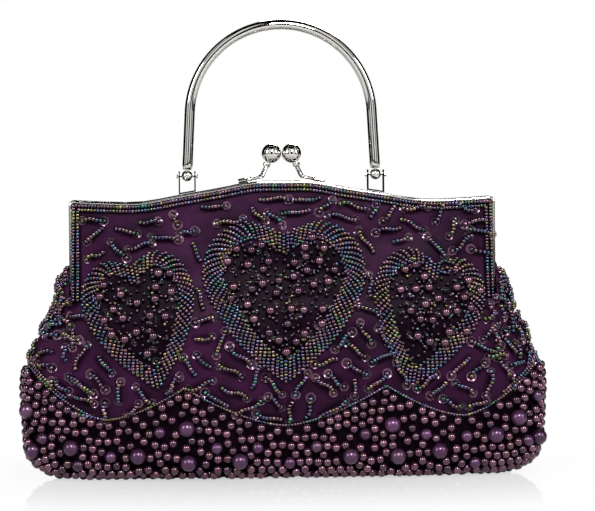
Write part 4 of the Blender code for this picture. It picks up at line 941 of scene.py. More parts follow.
def heart_rows(heart, mirror):
    """Rows of beads across half a band, from its inner to its outer edge and slanting towards the tip.

    Each row is set off from the line midway between the edges: its points go square to that line
    by a share of the way to the edge, while they also go along it by a share of the band's width.
    """
    outer, inner = (heart_line(heart, shares, mirror) for shares in (HEART_OUTER_SHARES, HEART_INNER_SHARES))
    middle = even((outer + inner) / 2, HEART_POINTS)
    marks = np.linspace(0, lengths(middle)[-1], HEART_POINTS)
    square = along_surface(middle)[:, ::-1] * (-mirror, mirror)
    inward, outward = (distances(middle, line).min(axis=1) for line in (inner, outer))
    share = np.linspace(-1, 1, HEART_ROW_POINTS)
    twist = share * (1 + HEART_TWIST_SHARE) - HEART_TWIST_SHARE * share**3
    rows = []
    start = -HEART_SLANT_SHARE * (inward[0] + outward[0])
    while start < marks[-1]:
        along = start + (share + 1) / 2 * HEART_SLANT_SHARE * np.interp(start, marks, inward + outward)
        reach = np.where(share < 0, np.interp(along, marks, inward), np.interp(along, marks, outward)) * twist
        row = at_marks(along, marks, middle) + at_marks(along, marks, square) * reach[:, None]
        keep = (along > 0) & (along < marks[-1])
        if keep.sum() >= HEART_ROW_LEAST:
            rows.append(walk(row[keep], HEART_BEAD_PITCH))
        start += HEART_ROW_GAP * math.hypot(1.0, HEART_SLANT_SHARE)
    return rows


def clear_spots(spots, gap):
    """Which of the places to keep so that none lies nearer than the gap to a kept one before it."""
    keep = np.ones(len(spots), bool)
    for index in range(1, len(spots)):
        near = np.linalg.norm(spots[:index][keep[:index]] - spots[index], axis=1)
        keep[index] = near.min() > gap
    return keep


def heart_beads(side, heart, rng, finish):
    """One heart: short slanting rows of seed beads side by side along its band."""
    place, tip, _, height, lean = heart
    across, up = heart_axes(lean)
    runs = []
    for low, high, rise in HEART_MIDDLE_SHARES:
        for column in (0.0, -1.0, 1.0):
            foot = tip + across * column * HEART_ROW_GAP + up * rise * HEART_ROW_GAP * abs(column)
            row = walk(foot + up * np.array([[low], [high]]) * height, HEART_BEAD_PITCH)
            runs.append(bead_run(row, SEED_LIFT + HEART_CROWN * 0.7))
    for mirror in (-1.0, 1.0):
        for row in heart_rows(heart, mirror):
            crown = np.sin(np.linspace(*HEART_CROWN_SHARES, len(row)) * math.pi)
            own = (row - tip) @ across * mirror > SEED_RADIUS * 0.5
            runs.append([part[own] for part in bead_run(row, SEED_LIFT + HEART_CROWN * crown)])
    spots = gathered(side, runs)
    keep = clear_spots(spots[0], HEART_LEAST_GAP)
    spots = [part[keep] for part in spots]
    tints = iris_tints(rng, spots[0])
    sizes = HEART_BEAD_SHARE * rng.uniform(*HEART_BEAD_SHARES, len(tints))
    return scatter(f"{SIDE_NAMES[side]}_heart_beads_{place}", bead_shape(), spots, finish, tints, sizes)


def scallop_beads(side, rng, finish):
    """The strand of seed beads along the pearls' upper edge, with a second one at each end."""
    turns = np.linspace(-RIGHT_ANGLE, RIGHT_ANGLE, SCALLOP_POINTS)
    edge = satin_scallop(oval(turns, HINGE_HEIGHT / 2)[:, 0])
    runs = []
    for rise, run in (
        (SCALLOP_RISE, turns > -math.pi),
        (SCALLOP_SECOND_RISE, turns < -SCALLOP_SECOND_TURN),
        (SCALLOP_SECOND_RISE, turns > SCALLOP_SECOND_TURN),
    ):
        line = walk(oval(turns[run], edge[run] + rise), SCALLOP_PITCH)
        share = np.clip(line[:, 0] / sack_section(line[:, 2])[0], -0.9999, 0.9999)
        base, out = on_oval(np.arcsin(share), line[:, 2])
        line = base + out * SEED_RADIUS
        runs.append((line, along_surface(line), out))
    spots = gathered(side, runs)
    tints = iris_tints(rng, spots[0])
    name = f"{SIDE_NAMES[side]}_scallop_beads"
    return scatter(name, bead_shape(), spots, finish, tints, SCALLOP_BEAD_SHARE)


def stalk_set(places, outs, rng):
    """Runs of beads and sequins of stalks, from the places of both ends and the ways outwards there."""
    beads, sequins = [], []
    for (start, end), (start_out, end_out) in zip(places, outs):
        run = end - start
        count = max(STALK_LEAST_BEADS, int(round(np.linalg.norm(run) / STALK_PITCH)) + 1)
        t = np.linspace(0, 1, count)[:, None]
        out = unit(start_out * (1 - t) + end_out * t)
        side = unit(np.cross(out[0], run))
        bow, twist = rng.uniform(-1.0, 1.0, 2) * STALK_BOW
        sway = bow * np.sin(math.pi * t) + twist * np.sin(2 * math.pi * t)
        rise = STALK_FOOT + STALK_RISE * np.sin(math.pi * t) ** STALK_ARCH_POWER
        line = start + run * t + out * rise + side * sway
        beads.append((line, along_surface(line), out))
        for at, away in ((0, -1.0), (count - 1, 1.0)):
            if rng.random() < SEQUIN_MISS_SHARE:
                continue
            along = unit(run) * away
            tip, roll = rng.uniform(*SEQUIN_TIP_SHARES), rng.uniform(*SEQUIN_ROLL_SHARES)
            normal = unit(out[at] + along * tip + side * roll)
            lift, shift = rng.uniform(*SEQUIN_LIFT), rng.uniform(*SEQUIN_SHIFT)
            sequins.append((start + run * t[at] + out[at] * lift + along * shift, along, normal))
    return beads, sequins


def front_stalks(rng):
    """Both ends of the stalks seen in the photograph, and the ways outwards there."""
    jitter = rng.normal(0.0, STALK_JITTER, (len(STALKS), 2, 2))
    return on_face(STALK_ENDS + jitter.transpose(0, 2, 1))


def more_stalks(rng):
    """Further short stalks strewn over the satin that the others and the hearts leave free."""
    feet = list(STALK_ENDS)
    outlines = [heart_outline(heart, HEART_OUTER_SHARES) for heart in HEARTS]
    for _ in range(MORE_STALK_TRIES):
        x = rng.uniform(-MORE_STALK_X, MORE_STALK_X)
        low, high = scallop_height(x) + STALK_FREE_GAP, frame_top(x) - MORE_STALK_TOP
        z = rng.uniform(low, high)
        turn, reach = rng.uniform(0, math.pi), rng.uniform(*MORE_STALK_REACH)
        half = np.array((math.cos(turn), math.sin(turn))) * reach / 2
        spots = np.array((x, z)) + half * np.linspace(-1, 1, 5)[:, None]
        near = [nearest(spots, *np.swapaxes(feet, 0, 1)), *(distances(spots, line) for line in outlines)]
        free = min(gaps.min() for gaps in near) >= STALK_FREE_GAP
        within = spots[:, 1].min() >= low and spots[:, 1].max() <= high
        if free and within and not any(inside(line, spots).any() for line in outlines):
            feet.append(spots[[0, -1]])
    return on_face(np.array(feet[len(STALKS) :]))


def end_stalks(rng):
    """Stalks round the sack's ends, which the photograph shows only from their edge."""
    places, outs = [], []
    while len(places) < END_STALKS:
        turn = math.radians(rng.uniform(*END_STALK_DEGREES)) * rng.choice((-1.0, 1.0))
        z = rng.uniform(*END_STALK_HEIGHT)
        first = on_oval(turn, z)[0]
        if any(np.linalg.norm(first - sum(pair) / 2) < END_STALK_GAP for pair in places):
            continue
        angle, reach = rng.uniform(0, 2 * math.pi), rng.uniform(*END_STALK_REACH)
        other_turn = np.clip(turn + math.cos(angle) * reach / END_STALK_RADIUS, -1.5, 1.5)
        other_z = np.clip(z + math.sin(angle) * reach, *END_STALK_LIMITS)
        pair, out = on_oval(np.array((turn, other_turn)), np.array((z, other_z)))
        if END_STALK_LENGTH[0] < np.linalg.norm(pair[1] - pair[0]) < END_STALK_LENGTH[1]:
            places.append(pair)
            outs.append(out)
    return places, outs


def puff_stalks(rng):
    """Stalks over the front half of both gussets and a little below them."""
    places, outs = [], []
    for end in [-1.0] * PUFF_STALKS + [1.0] * PUFF_STALKS:
        turn = -rng.uniform(0.05, 1.35) + np.array((0.0, rng.uniform(-0.35, 0.35)))
        share = rng.uniform(0.05, 0.70) + np.array((0.0, rng.choice((-0.24, 0.24))))
        turn, share = np.clip(turn, -1.45, -0.05), np.clip(share, 0.0, 0.92)
        around = puff_point(turn + PUFF_STEP_SHARE, share) - puff_point(turn - PUFF_STEP_SHARE, share)
        upward = puff_point(turn, share + PUFF_STEP_SHARE) - puff_point(turn, share - PUFF_STEP_SHARE)
        places.append(puff_point(turn, share) * (end, 1.0, 1.0))
        outs.append(unit(np.cross(around, upward)) * (end, 1.0, 1.0))
    return places, outs


def stalk_pieces(side, rng, glass, foil):
    """All the stalks of one face: their beads, and the sequins at their ends."""
    ends = [front_stalks(rng), more_stalks(rng), end_stalks(rng), puff_stalks(rng)]
    sets = stalk_set(*(np.concatenate(part) for part in zip(*ends)), rng)
    beads, sequins = (gathered(side, runs) for runs in sets)
    name = SIDE_NAMES[side]
    tints = iris_tints(rng, beads[0])
    sizes = STALK_BEAD_SHARE * rng.uniform(*STALK_BEAD_SHARES, len(tints))
    made = [scatter(f"{name}_stalk_beads", bead_shape(), beads, glass, tints, sizes)]
    sizes = SEQUIN_RADIUS * rng.uniform(*SEQUIN_SIZE_SHARES, len(sequins[0]))
    tints = pick_tints(rng, SEQUIN_TINTS, len(sequins[0]))
    # Painted light on each sequin: darker towards the centre, a painted highlight at the rim
    painted_shades = np.repeat([shade for _, shade in SEQUIN_RINGS_AND_PAINTED_LIGHT], 12)
    made.append(scatter(f"{name}_stalk_sequins", sequin_shape(), sequins, foil, tints, sizes, painted_shades))
    return made


def inside(outline, spots):
    """Which places lie inside a closed outline, by counting the sides that a level line crosses."""
    (x0, z0), (x1, z1) = outline.T, np.roll(outline, -1, axis=0).T
    x, z = spots[:, :1], spots[:, 1:]
    cross = x0 + (z - z0) * (x1 - x0) / np.where(z1 == z0, 1.0, z1 - z0)
    return (((z0 > z) != (z1 > z)) & (x < cross)).sum(axis=1) % 2 == 1


def heart_bed(rng, pearls):
    """Places strewn inside the hearts, clear of one another and of the pearls."""
    kept = []
    for heart in HEARTS:
        outline = heart_outline(heart, HEART_INNER_SHARES)
        tries = rng.uniform(outline.min(axis=0), outline.max(axis=0), (HEART_BED_TRIES, 2))
        tries = tries[inside(outline, tries)]
        tries = tries[distances(tries, pearls).min(axis=1) > HEART_PEARL_RADIUS]
        kept.append(tries[clear_spots(tries, HEART_BED_GAP)])
    return np.vstack(kept)


def level(turn):
    """A direction in the upright plane across the bag."""
    return np.array((math.cos(turn), 0.0, math.sin(turn)))


def heart_fill(side, rng, glass, pearl_finish, foil):
    """The pearls inside the hearts with the small beads and sequins sewn beside them."""
    flat = photo_places(LEFT_HEART_PEARLS + MIDDLE_HEART_PEARLS + RIGHT_HEART_PEARLS)
    pearls, out = lifted(flat, HEART_PEARL_RADIUS + SEED_RADIUS * 0.6)
    spots = gathered(side, [(pearls, np.tile(ACROSS, (len(flat), 1)), out)])
    name = SIDE_NAMES[side]
    tints = pick_tints(rng, PEARL_TINTS, len(flat))
    sizes = HEART_PEARL_RADIUS * rng.uniform(*HEART_PEARL_SHARES, len(flat))
    made = [scatter(f"{name}_heart_pearls", sphere_shape(5), spots, pearl_finish, tints, sizes)]
    seeds, discs = [], []
    for centre in flat:
        first = rng.uniform(0, 2 * math.pi)
        for k in range(rng.integers(2, 5)):
            angle = first + k * 1.9 + rng.uniform(-0.4, 0.4)
            reach = HEART_PEARL_RADIUS + SEED_RADIUS * rng.uniform(0.7, 1.3)
            spot, way = lifted(centre + reach * level(angle)[::2], SEED_RADIUS * rng.uniform(0.9, 1.6))
            seeds.append((spot, level(angle + rng.uniform(0.6, 2.4)), way))
        for k in range(rng.integers(0, 2)):
            angle = first + 0.9 + k * 2.6 + rng.uniform(-0.5, 0.5)
            reach = HEART_PEARL_RADIUS * rng.uniform(0.9, 1.4)
            spot, way = lifted(centre + reach * level(angle)[::2], SEED_RADIUS * rng.uniform(0.6, 1.2))
            discs.append((spot, level(angle + RIGHT_ANGLE), unit(way + level(angle) * rng.uniform(0.1, 0.7))))
    bright = len(seeds)
    bed = heart_bed(rng, flat)
    spot, way = lifted(bed, SEED_RADIUS * rng.uniform(0.8, 1.8, len(bed)))
    turn = rng.uniform(0, 2 * math.pi, len(bed))
    along = np.stack((np.cos(turn), rng.uniform(-0.5, 0.5, len(turn)), np.sin(turn)), axis=1)
    seeds = gathered(side, [*seeds, (spot, along, way)])
    bed = bed[::HEART_DISC_STEP]
    spot, way = lifted(bed, SEED_RADIUS * rng.uniform(0.5, 1.4, len(bed)))
    way = unit(way + rng.normal(0, 0.35, way.shape))
    discs = gathered(side, [*discs, (spot, np.tile(ACROSS, (len(bed), 1)), way)])
    dark = len(seeds[0]) - bright
    tints = np.vstack((iris_tints(rng, seeds[0][:bright]), pick_tints(rng, DARK_SEED_TINTS, dark)))
    made.append(scatter(f"{name}_heart_fill_beads", bead_shape(), seeds, glass, tints))
    tints = pick_tints(rng, DARK_SEQUIN_TINTS, len(discs[0]))
    sizes = SEQUIN_RADIUS * rng.uniform(*HEART_DISC_SHARES, len(discs[0]))
    made.append(scatter(f"{name}_heart_sequins", sequin_shape(), discs, foil, tints, sizes))
    return made


def below(flat, lift):
    """Places on the sack, and ways outwards, whose points at a lift are seen at (x, z) from the front."""
    seen = flat.copy()
    for _ in range(SEEK_ROUNDS):
        width = sack_section(np.clip(seen[:, 1], BAND_OFFSET, HINGE_HEIGHT))[0]
        turn = np.arcsin(np.clip(seen[:, 0] / width, -0.9995, 0.9995))
        place, out = on_oval(turn, np.maximum(seen[:, 1], BAND_OFFSET))
        seen = seen + (flat - (place + out * lift)[:, ::2]) * SEEK_SHARE
    return place, out


def back_on_sack(points):
    """Places on the sack's front half nearest to the given points, kept under the scallop.

    In each upright section the base corner is a quarter of an oval: the share of its width that
    the point lies inwards is found by halving, and the point then moves along the line from the
    oval's centre.
    """
    x, y = np.abs(points[:, 0]), np.maximum(-points[:, 1], SMALL_PEARL_RADIUS)
    z = np.clip(points[:, 2], BAND_OFFSET, satin_scallop(x) - SCALLOP_PEARL_MARGIN)
    width, depth = full_section(z)
    low, high = np.full(len(x), -0.4), np.ones(len(x))
    for _ in range(18):
        middle = (low + high) / 2
        across, deep = x / (width - BASE_CORNER_X * middle), y / (depth - BASE_CORNER_Y * middle)
        outside = across**SECTION_POWER + deep**SECTION_POWER > 1
        high = np.where(outside, middle, high)
        low = np.where(outside, low, middle)
    drop = np.clip((BASE_CENTRE - points[:, 2]) / BASE_CORNER_Z, 0.0, 2.0)
    lean = np.arctan2(drop, np.maximum(1 - low, 0.02))
    z = np.where(drop > 0, BASE_CENTRE - BASE_CORNER_Z * np.sin(lean), z)
    width, depth = sack_section(z)
    across, deep = x / width, y / depth
    size = (across**SECTION_POWER + deep**SECTION_POWER) ** (1 / SECTION_POWER)
    return on_oval(np.arcsin(np.clip(across / size, 0, 0.99999)) * np.sign(points[:, 0]), z)


def pearl_rows(rng):
    """Rows of places round the sack's front half from its base edge up to the scallop."""
    lean = np.linspace(RIGHT_ANGLE, 0, 200)
    profile = np.stack((BASE_CORNER_Y * np.cos(lean), -BASE_CORNER_Z * np.sin(lean)), axis=1)
    runs = lengths(profile)
    corner = BASE_CENTRE + np.interp(np.arange(0.0, runs[-1], PEARL_ROW_STEP), runs, profile[:, 1])
    points = []
    for row, z in enumerate((*corner, *np.arange(BASE_CENTRE, SCALLOP_END_HEIGHT, PEARL_ROW_STEP))):
        line = oval(np.linspace(-RIGHT_ANGLE, RIGHT_ANGLE, 500), z)
        runs = lengths(line)
        points.append(at_marks(np.arange((row % 2 + 1) * PEARL_STEP / 2, runs[-1], PEARL_STEP), runs, line))
    points = np.vstack(points)
    points = points[points[:, 2] < satin_scallop(points[:, 0])]
    return points + rng.normal(0, PEARL_JITTER, points.shape)


def push_apart(places, out, fixed, reach, rounds):
    """Pearls moved apart over the sack until they no longer touch one another or the great ones."""
    for _ in range(rounds):
        centres = places + out * SMALL_PEARL_RADIUS
        gap, away = (centres[:, None] - others[None] for others in (centres, fixed))
        apart = np.linalg.norm(gap, axis=2) + np.eye(len(gap))
        move = (gap * (np.clip(SMALL_PEARL_GAP - apart, 0, None) / apart)[:, :, None]).sum(axis=1)
        far = np.linalg.norm(away, axis=2)
        need = np.clip(reach[None] + SMALL_PEARL_RADIUS - far, 0, None) / far
        shift = (away * need[:, :, None]).sum(axis=1)
        places, out = back_on_sack(places + move * PEARL_PUSH_SHARES[0] + shift * PEARL_PUSH_SHARES[1])
    return places, out


def clear_pearls(places, out, fixed, reach, share):
    """The pearls that lie further from the great ones' skins than a share of their own radius."""
    far = (distances(places + out * SMALL_PEARL_RADIUS, fixed) - reach).min(axis=1)
    keep = far > SMALL_PEARL_RADIUS * share
    return places[keep], out[keep]


def thinned(places, out):
    """The pearls without those that press into one before them."""
    keep = clear_spots(places + out * SMALL_PEARL_RADIUS, PEARL_LEAST_GAP)
    return places[keep], out[keep]


def strewn_pearls(rng):
    """Places strewn over the sack's base, half of them round its lower corner."""
    turns = rng.uniform(-RIGHT_ANGLE, RIGHT_ANGLE, PEARL_TRIES)
    tries = oval(turns, rng.uniform(BAND_OFFSET, SCALLOP_END_HEIGHT, PEARL_TRIES))
    low_down = rng.random(PEARL_TRIES) < 0.5
    lean = rng.uniform(0, RIGHT_ANGLE, PEARL_TRIES)
    corner = oval(turns, BAND_OFFSET + BASE_CORNER_Z * (1 - np.sin(lean)))
    return back_on_sack(np.where(low_down[:, None], corner, tries))


def spread_pearls(rng, fixed, reach):
    """Small pearls all over the sack's base: rows, pushed apart, thinned and filled up again."""
    pearls = back_on_sack(pearl_rows(rng))
    for rounds in PEARL_ROUNDS:
        pearls = push_apart(*pearls, fixed, reach, rounds)
        pearls = thinned(*clear_pearls(*pearls, fixed, reach, PEARL_CLEAR_SHARES[0]))
        more = clear_pearls(*strewn_pearls(rng), fixed, reach, PEARL_CLEAR_SHARES[1])
        pearls = thinned(*(np.vstack(pair) for pair in zip(pearls, more)))
    return pearls[0] + pearls[1] * SMALL_PEARL_RADIUS, pearls[1]


def base_pearls(rng):
    """Small pearls under the flat base, for one half of it."""
    width, depth = sack_section(BAND_OFFSET)
    end_inset, front_inset, middle_inset = BASE_PEARL_INSETS
    places = []
    for row, y in enumerate(np.arange(-depth + front_inset, -middle_inset, BASE_PEARL_ROW)):
        for x in np.arange(-width, width, BASE_PEARL_STEP) + (row % 2) * BASE_PEARL_STEP / 2:
            if (abs(x) / (width - end_inset)) ** SECTION_POWER + (abs(y) / depth) ** SECTION_POWER < 0.93:
                places.append((x, y, SMALL_PEARL_RADIUS))
    places = np.array(places)
    places[:, :2] += rng.normal(0, BASE_PEARL_JITTER, (len(places), 2))
    return places, np.tile((0.0, 0.0, -1.0), (len(places), 1))


def pearl_pieces(side, rng, small_finish, great_finish):
    """All the pearls of one face's base."""
    great = []
    for pixels, radius, lift in (
        (LARGE_PEARLS, LARGE_PEARL_RADIUS, LARGE_PEARL_LIFT),
        (MEDIUM_PEARLS, MEDIUM_PEARL_RADIUS, MEDIUM_PEARL_LIFT),
    ):
        place, out = below(photo_places(pixels), lift)
        great.append((place + out * lift, out, np.full(len(place), radius)))
    centres, outs, radii = (np.concatenate(part) for part in zip(*great))
    centres[:, 2] = np.maximum(centres[:, 2], radii)
    under = base_pearls(rng)
    reach = np.concatenate((radii, np.full(len(under[0]), SMALL_PEARL_RADIUS)))
    small = spread_pearls(rng, np.vstack((centres, under[0])), reach)
    small, small_out = (np.vstack(pair) for pair in zip(small, under))
    small[:, 2] = np.maximum(small[:, 2], SMALL_PEARL_RADIUS)
    name = SIDE_NAMES[side]
    tints = pick_tints(rng, PEARL_TINTS, len(small))
    sizes = SMALL_PEARL_RADIUS * rng.uniform(*SMALL_PEARL_SHARES, len(small))
    spots = gathered(side, [(small, np.tile(PEARL_UP, (len(small), 1)), small_out)])
    made = [scatter(f"{name}_small_pearls", sphere_shape(4), spots, small_finish, tints, sizes)]
    tints = pick_tints(rng, GREAT_PEARL_TINTS, len(centres))
    spots = gathered(side, [(centres, np.tile(PEARL_UP, (len(centres), 1)), outs)])
    made.append(scatter(f"{name}_great_pearls", sphere_shape(8), spots, great_finish, tints, radii))
    return made


def capped(line, *widths):
    """A bar's line with both end points doubled, and its half-widths with zero there, which closes it."""
    closed = [np.concatenate(([0.0], width, [0.0])) for width in widths]
    return np.vstack((line[:1], line, line[-1:])), *closed


def sweep(name, line, thick, deep, y, finish, sides):
    """A bar along a line in the upright plane at y: each section is an oval set square to the line."""
    across = along_surface(line)[:, ::-1] * (-1.0, 1.0)
    thick, deep = thick[:, None] * ring(sides)[:, 0], deep[:, None] * ring(sides)[:, 1]
    flat = line[:, None, :] + across[:, None, :] * thick[:, :, None]
    points = np.stack((flat[:, :, 0], y + deep, flat[:, :, 1]), axis=2)
    faces = grid_faces(len(line), sides, closed=True)[:, ::-1]
    return mesh_object(name, points.reshape(-1, 3), faces, finish)


def handle_tube(finish):
    """The handle: two straight legs that lean in a little and the arch that joins them."""
    sine, cosine = math.sin(HANDLE_SPLAY), math.cos(HANDLE_SPLAY)
    rise = HANDLE_REACH - HANDLE_TUBE_RADIUS
    lean = math.tan(HANDLE_SPLAY)
    radius = (HANDLE_HALF_SPAN - rise * lean) / (cosine - lean * (1 - sine))
    turns = np.linspace(HANDLE_SPLAY, RIGHT_ANGLE, 60)
    arch = np.stack((np.cos(turns), np.sin(turns)), axis=1) * radius + (0.0, HANDLE_PIVOT_Z + rise - radius)
    start = HANDLE_BALL_RADIUS + SEAM_HALF_GAP
    foot = np.array((HANDLE_HALF_SPAN - start * sine, HANDLE_PIVOT_Z + start * cosine))
    half = np.vstack((foot + (arch[0] - foot) * np.linspace(0, 1, 14)[:-1, None], arch))
    line = np.vstack((half, half[-2::-1] * (-1.0, 1.0)))
    reach = np.full(len(line), HANDLE_TUBE_RADIUS)
    reach[[0, -1]] = HANDLE_TUBE_RADIUS * 0.9
    line, reach = capped(line, reach)
    return sweep("handle_arch", line[::-1], reach, reach, FRAME_MIDDLE_Y, finish, 32)


def frame_moulding(side, finish):
    """The half-round rim of one frame, along its outer edge."""
    line = even(frame_path(FRAME_RIM / 2, MOULDING_FOOT), 220) * (-side, 1.0)
    reach = np.full(len(line), FRAME_RIM / 2)
    reach[[0, -1]] = 0.0
    y = side * (FRAME_OUTER_Y - MOULDING_SINK)
    deep = np.full_like(reach, MOULDING_DEPTH)
    return sweep(f"{SIDE_NAMES[side]}_frame_moulding", line, reach, deep, y, finish, 12)


def clasp_arm(side, finish):
    """One arm of the clasp: a foot along the frame's top, a bend, a rise to the collar under the ball."""
    x = np.linspace(CLASP_FOOT_OUTER_X, CLASP_FOOT_INNER_X, 12)[::4]
    foot = np.stack((x, frame_top(x) + CLASP_ARM_HALF_THICKNESS + SEAM_HALF_GAP), axis=1)
    line = np.vstack((foot, CLASP_ARM_RISE + np.array((0.0, CLASP_BALL_Z))))
    line = even(curve_through(line, 120), 60)
    share = np.linspace(0, 1, len(line))
    collar = ramp(share, 0.90, 0.92)
    deep = CLASP_FOOT_HALF_DEPTH + (CLASP_ARM_HALF_DEPTH - CLASP_FOOT_HALF_DEPTH) * ramp(share, 0.25, 0.60)
    widths = (width + (CLASP_COLLAR_RADIUS - width) * collar for width in (CLASP_ARM_HALF_THICKNESS, deep))
    line, thick, deep = capped(line * (side, 1.0), *widths)
    toward = ramp(np.concatenate(([0.0], share, [1.0])), 0.45, 1.0)
    y = side * FRAME_MIDDLE_Y * (1 - toward)[:, None]
    return sweep(f"{SIDE_NAMES[side]}_clasp_lever", line, thick, deep, y, finish, 20)


def metal_ball(name, place, radius, finish):
    """A polished ball."""
    points, faces = sphere_shape(18)
    return mesh_object(name, points * radius + np.array(place), faces, finish)


satin = satin_material()
lining = principled("black_lining_woven", LINING_WEAVE, "17121a", Roughness=0.62)[0]
seed_glass = tinted_material("iris_coated_seed_beads", 0.95, 0.20, 0.8)
pearl_glass = tinted_material("plum_coated_glass_pearls", 0.85, 0.14, 0.5)
great_glass = tinted_material("violet_coated_glass_pearls", 0.72, 0.32, 0.35)
sequin_foil = tinted_material("mauve_film_sequins", 0.6, 0.25, 0.4, SEQUIN_ALPHA)
nickel = principled("polished_nickel_plate", NICKEL_WAVES, "d2d0cb", Metallic=1.0, Roughness=0.05)[0]

for side in (FRONT, BACK):
    name = SIDE_NAMES[side]
    body = f"{name}_half"
    rng = np.random.default_rng(11 if side == FRONT else 23)
    start, end = (0.0, 0.0, FOLD_START), (0.0, 0.0, FOLD_END)

    piece = satin_panel(f"{name}_satin", side, satin)
    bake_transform(piece)
    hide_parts(f"{name}_sack_panel", f"{name}_upper_panel")

    piece = lining_panel(f"{name}_lining_cloth", side, lining)
    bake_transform(piece)
    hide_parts(f"{name}_sack_lining", f"{name}_upper_lining")

    piece = border_beads(side, rng, seed_glass)
    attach(piece, body)
    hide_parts(f"{name}_border_strands")

    for heart in HEARTS:
        piece = heart_beads(side, heart, rng, seed_glass)
        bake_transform(piece)
        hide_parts(f"{name}_heart_top_{heart[0]}", f"{name}_heart_point_{heart[0]}")

    piece = scallop_beads(side, rng, seed_glass)
    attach(piece, "sack")
    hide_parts(f"{name}_scallop_strand")

    for piece in stalk_pieces(side, rng, seed_glass, sequin_foil):
        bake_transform(piece)

    pearls, seeds, discs = heart_fill(side, rng, seed_glass, pearl_glass, sequin_foil)
    for piece in (pearls, seeds, discs):
        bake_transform(piece)

    small, great = pearl_pieces(side, rng, pearl_glass, great_glass)
    for piece in (small, great):
        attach(piece, "sack")
    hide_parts(f"{name}_pearl_band")

for end in (-1, 1):
    piece = end_puff(f"{'left' if end < 0 else 'right'}_gusset", end, satin)
    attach(piece, "sack")

METAL_WORDS = ("frame", "clasp", "handle", "rivet")
for node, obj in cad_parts.items():
    metal = any(word in node for word in METAL_WORDS)
    if metal or node in ("slip_pocket", "base_board"):
        obj.data.materials.clear()
        obj.data.materials.append(nickel if metal else lining)

for side in (FRONT, BACK):
    name = SIDE_NAMES[side]
    body = f"{name}_half"
    knob = (f"{name}_clasp_knob", (side * CLASP_BALL_X, 0.0, CLASP_BALL_Z), CLASP_BALL_RADIUS)
    for piece, node in (
        (frame_moulding(side, nickel), None),
        (clasp_arm(side, nickel), f"{name}_clasp_arm"),
        (metal_ball(*knob, nickel), f"{name}_clasp_ball"),
    ):
        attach(piece, body)
        if node:
            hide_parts(node)

piece = handle_tube(nickel)
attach(piece, "handle")
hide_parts("handle_tube")
for end, word in ((-1.0, "left"), (1.0, "right")):
    place = (end * HANDLE_HALF_SPAN, FRAME_MIDDLE_Y, HANDLE_PIVOT_Z)
    piece = metal_ball(f"handle_knob_{word}", place, HANDLE_BALL_RADIUS, nickel)
    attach(piece, "handle")
    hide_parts(f"handle_ball_{word}")


def area_light(name, place, aim_z, size, power):
    """A soft rectangular light aimed at a height over the middle of the floor."""
    lamp = bpy.data.lights.new(name, "AREA")
    lamp.shape = "RECTANGLE"
    lamp.size, lamp.size_y = size
    lamp.energy = power
    obj = bpy.data.objects.new(name, lamp)
    obj.location = place
    obj.rotation_euler = (Vector((0, 0, aim_z)) - Vector(place)).to_track_quat("-Z", "Y").to_euler()
    bpy.context.scene.collection.objects.link(obj)


def white_world():
    """White behind all that is seen, mirrored or seen through, and a dimmer white as the fill light."""
    bpy.context.scene.world = world = bpy.data.worlds.new("studio")
    tree = tree_of(world)
    rays = add(tree, "LightPath").outputs
    fill, plain = (add(tree, "Background", WHITE, strength) for strength in (FILL_STRENGTH, 1.0))
    larger = [("operation", "MAXIMUM")]
    seen = add(tree, "Math", rays["Is Camera Ray"], rays["Is Glossy Ray"], own=larger)
    either = add(tree, "Math", seen, rays["Is Transmission Ray"], own=larger)
    add(tree, "OutputWorld", add(tree, "MixShader", either, fill, plain))


def floor_material():
    """White card: it glows white to the camera, keeps the shadow and mirrors the bag close to it."""
    made = bpy.data.materials.new("white_table")
    tree = tree_of(made)
    card = add(tree, "BsdfDiffuse", CARD_GREY)
    dim = add(tree, "BsdfDiffuse", (FLOOR_CARD_SHARE, FLOOR_CARD_SHARE, FLOOR_CARD_SHARE, 1.0))
    lit = add(tree, "AddShader", add(tree, "Emission", WHITE, FLOOR_GLOW_SHARE), dim)
    gloss = add(tree, "BsdfGlossy", Color=WHITE, Roughness=FLOOR_ROUGHNESS)
    close = add(tree, "MixShader", FLOOR_MIRROR_SHARE, lit, gloss)
    far = add(tree, "Emission", WHITE, 1.0)
    place = add(tree, "TexCoord").outputs["Object"]
    reach = (1 / MIRROR_REACH_X, 1 / MIRROR_REACH_Y, 0.0)
    near = add(tree, "VectorMath", place, reach, own=[("operation", "MULTIPLY")])
    away = add(tree, "VectorMath", near, own=[("operation", "LENGTH")]).outputs["Value"]
    shown = add(tree, "MixShader", add(tree, "MapRange", away, MIRROR_NEAR_SHARE, 1.0), close, far)
    seen = add(tree, "LightPath").outputs["Is Camera Ray"]
    add(tree, "OutputMaterial", add(tree, "MixShader", seen, card, shown))
    return made


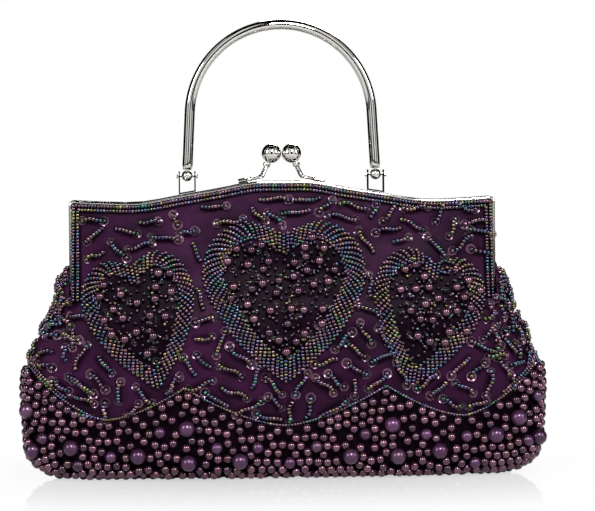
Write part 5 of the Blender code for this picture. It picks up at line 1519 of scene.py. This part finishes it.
def dark_screens(finish):
    """Black screens round and over the set, with gaps that stand as bright windows in the metal."""
    strips = [(middle, half, ((1.0, 0.0), (1.0, SCREEN_TOP))) for middle, half in SCREEN_ARCS]
    strips.append((180.0, 180.0, ((0.01, SCREEN_TOP), (1.0, SCREEN_TOP))))
    points = []
    for middle, half, edges in strips:
        turns = np.radians(np.linspace(middle - half, middle + half, 17))
        out = np.stack((np.sin(turns), -np.cos(turns)), axis=1) * SCREEN_RADIUS
        points += [np.column_stack((out * share, np.full(17, z))) for share, z in edges]
    faces = np.vstack([grid_faces(2, 17) + k * 34 for k in range(len(strips))])
    made = mesh_object("black_screens", np.vstack(points), faces, finish)
    for sight in ("camera", "diffuse", "shadow", "transmission"):
        setattr(made, f"visible_{sight}", False)
    return made


def black_card():
    """Black card that gives nothing back, and that light off the floor's film passes through."""
    made, tree, shader = principled("black_card", color="050505", Roughness=1.0, Specular_IOR_Level=0.0)
    passed = add(tree, "LightPath").outputs["Transparent Depth"]
    connect(tree, shader, Alpha=add(tree, "Math", passed, 0.5, own=[("operation", "LESS_THAN")]))
    return made


def clear_film():
    """A film that only marks the light that has passed it."""
    made = bpy.data.materials.new("clear_film")
    tree = tree_of(made)
    add(tree, "OutputMaterial", add(tree, "BsdfTransparent"))
    return made


white_world()
corners = ((-1.0, -1.0, 0.0), (1.0, -1.0, 0.0), (1.0, 1.0, 0.0), (-1.0, 1.0, 0.0))
floor_points = np.array(corners) * FLOOR_REACH
square = np.array([[0, 1, 2, 3]])
floor = mesh_object("floor", floor_points - (0.0, 0.0, 2 * FILM_LIFT), square, floor_material())
film = mesh_object("floor_film", floor_points - (0.0, 0.0, FILM_LIFT), square, clear_film())
screens = dark_screens(black_card())

for light in LIGHTS:
    area_light(*light)

azimuth, elevation = math.radians(CAMERA_AZIMUTH), math.radians(CAMERA_ELEVATION)
ahead, rise = math.cos(elevation), math.sin(elevation)
way = Vector((math.sin(azimuth) * ahead, -math.cos(azimuth) * ahead, rise))
camera = bpy.data.objects.new("camera", bpy.data.cameras.new("camera"))
camera.data.lens = CAMERA_LENS
camera.data.sensor_width = CAMERA_SENSOR
camera.location = Vector(CAMERA_TARGET) + way * CAMERA_DISTANCE
level = (-way).to_track_quat("-Z", "Y").to_matrix()
camera.rotation_euler = (level @ Matrix.Rotation(math.radians(-CAMERA_ROLL), 3, "Z")).to_euler()
bpy.context.scene.collection.objects.link(camera)
bpy.context.scene.camera = camera
bpy.context.scene.view_settings.view_transform = "Standard"
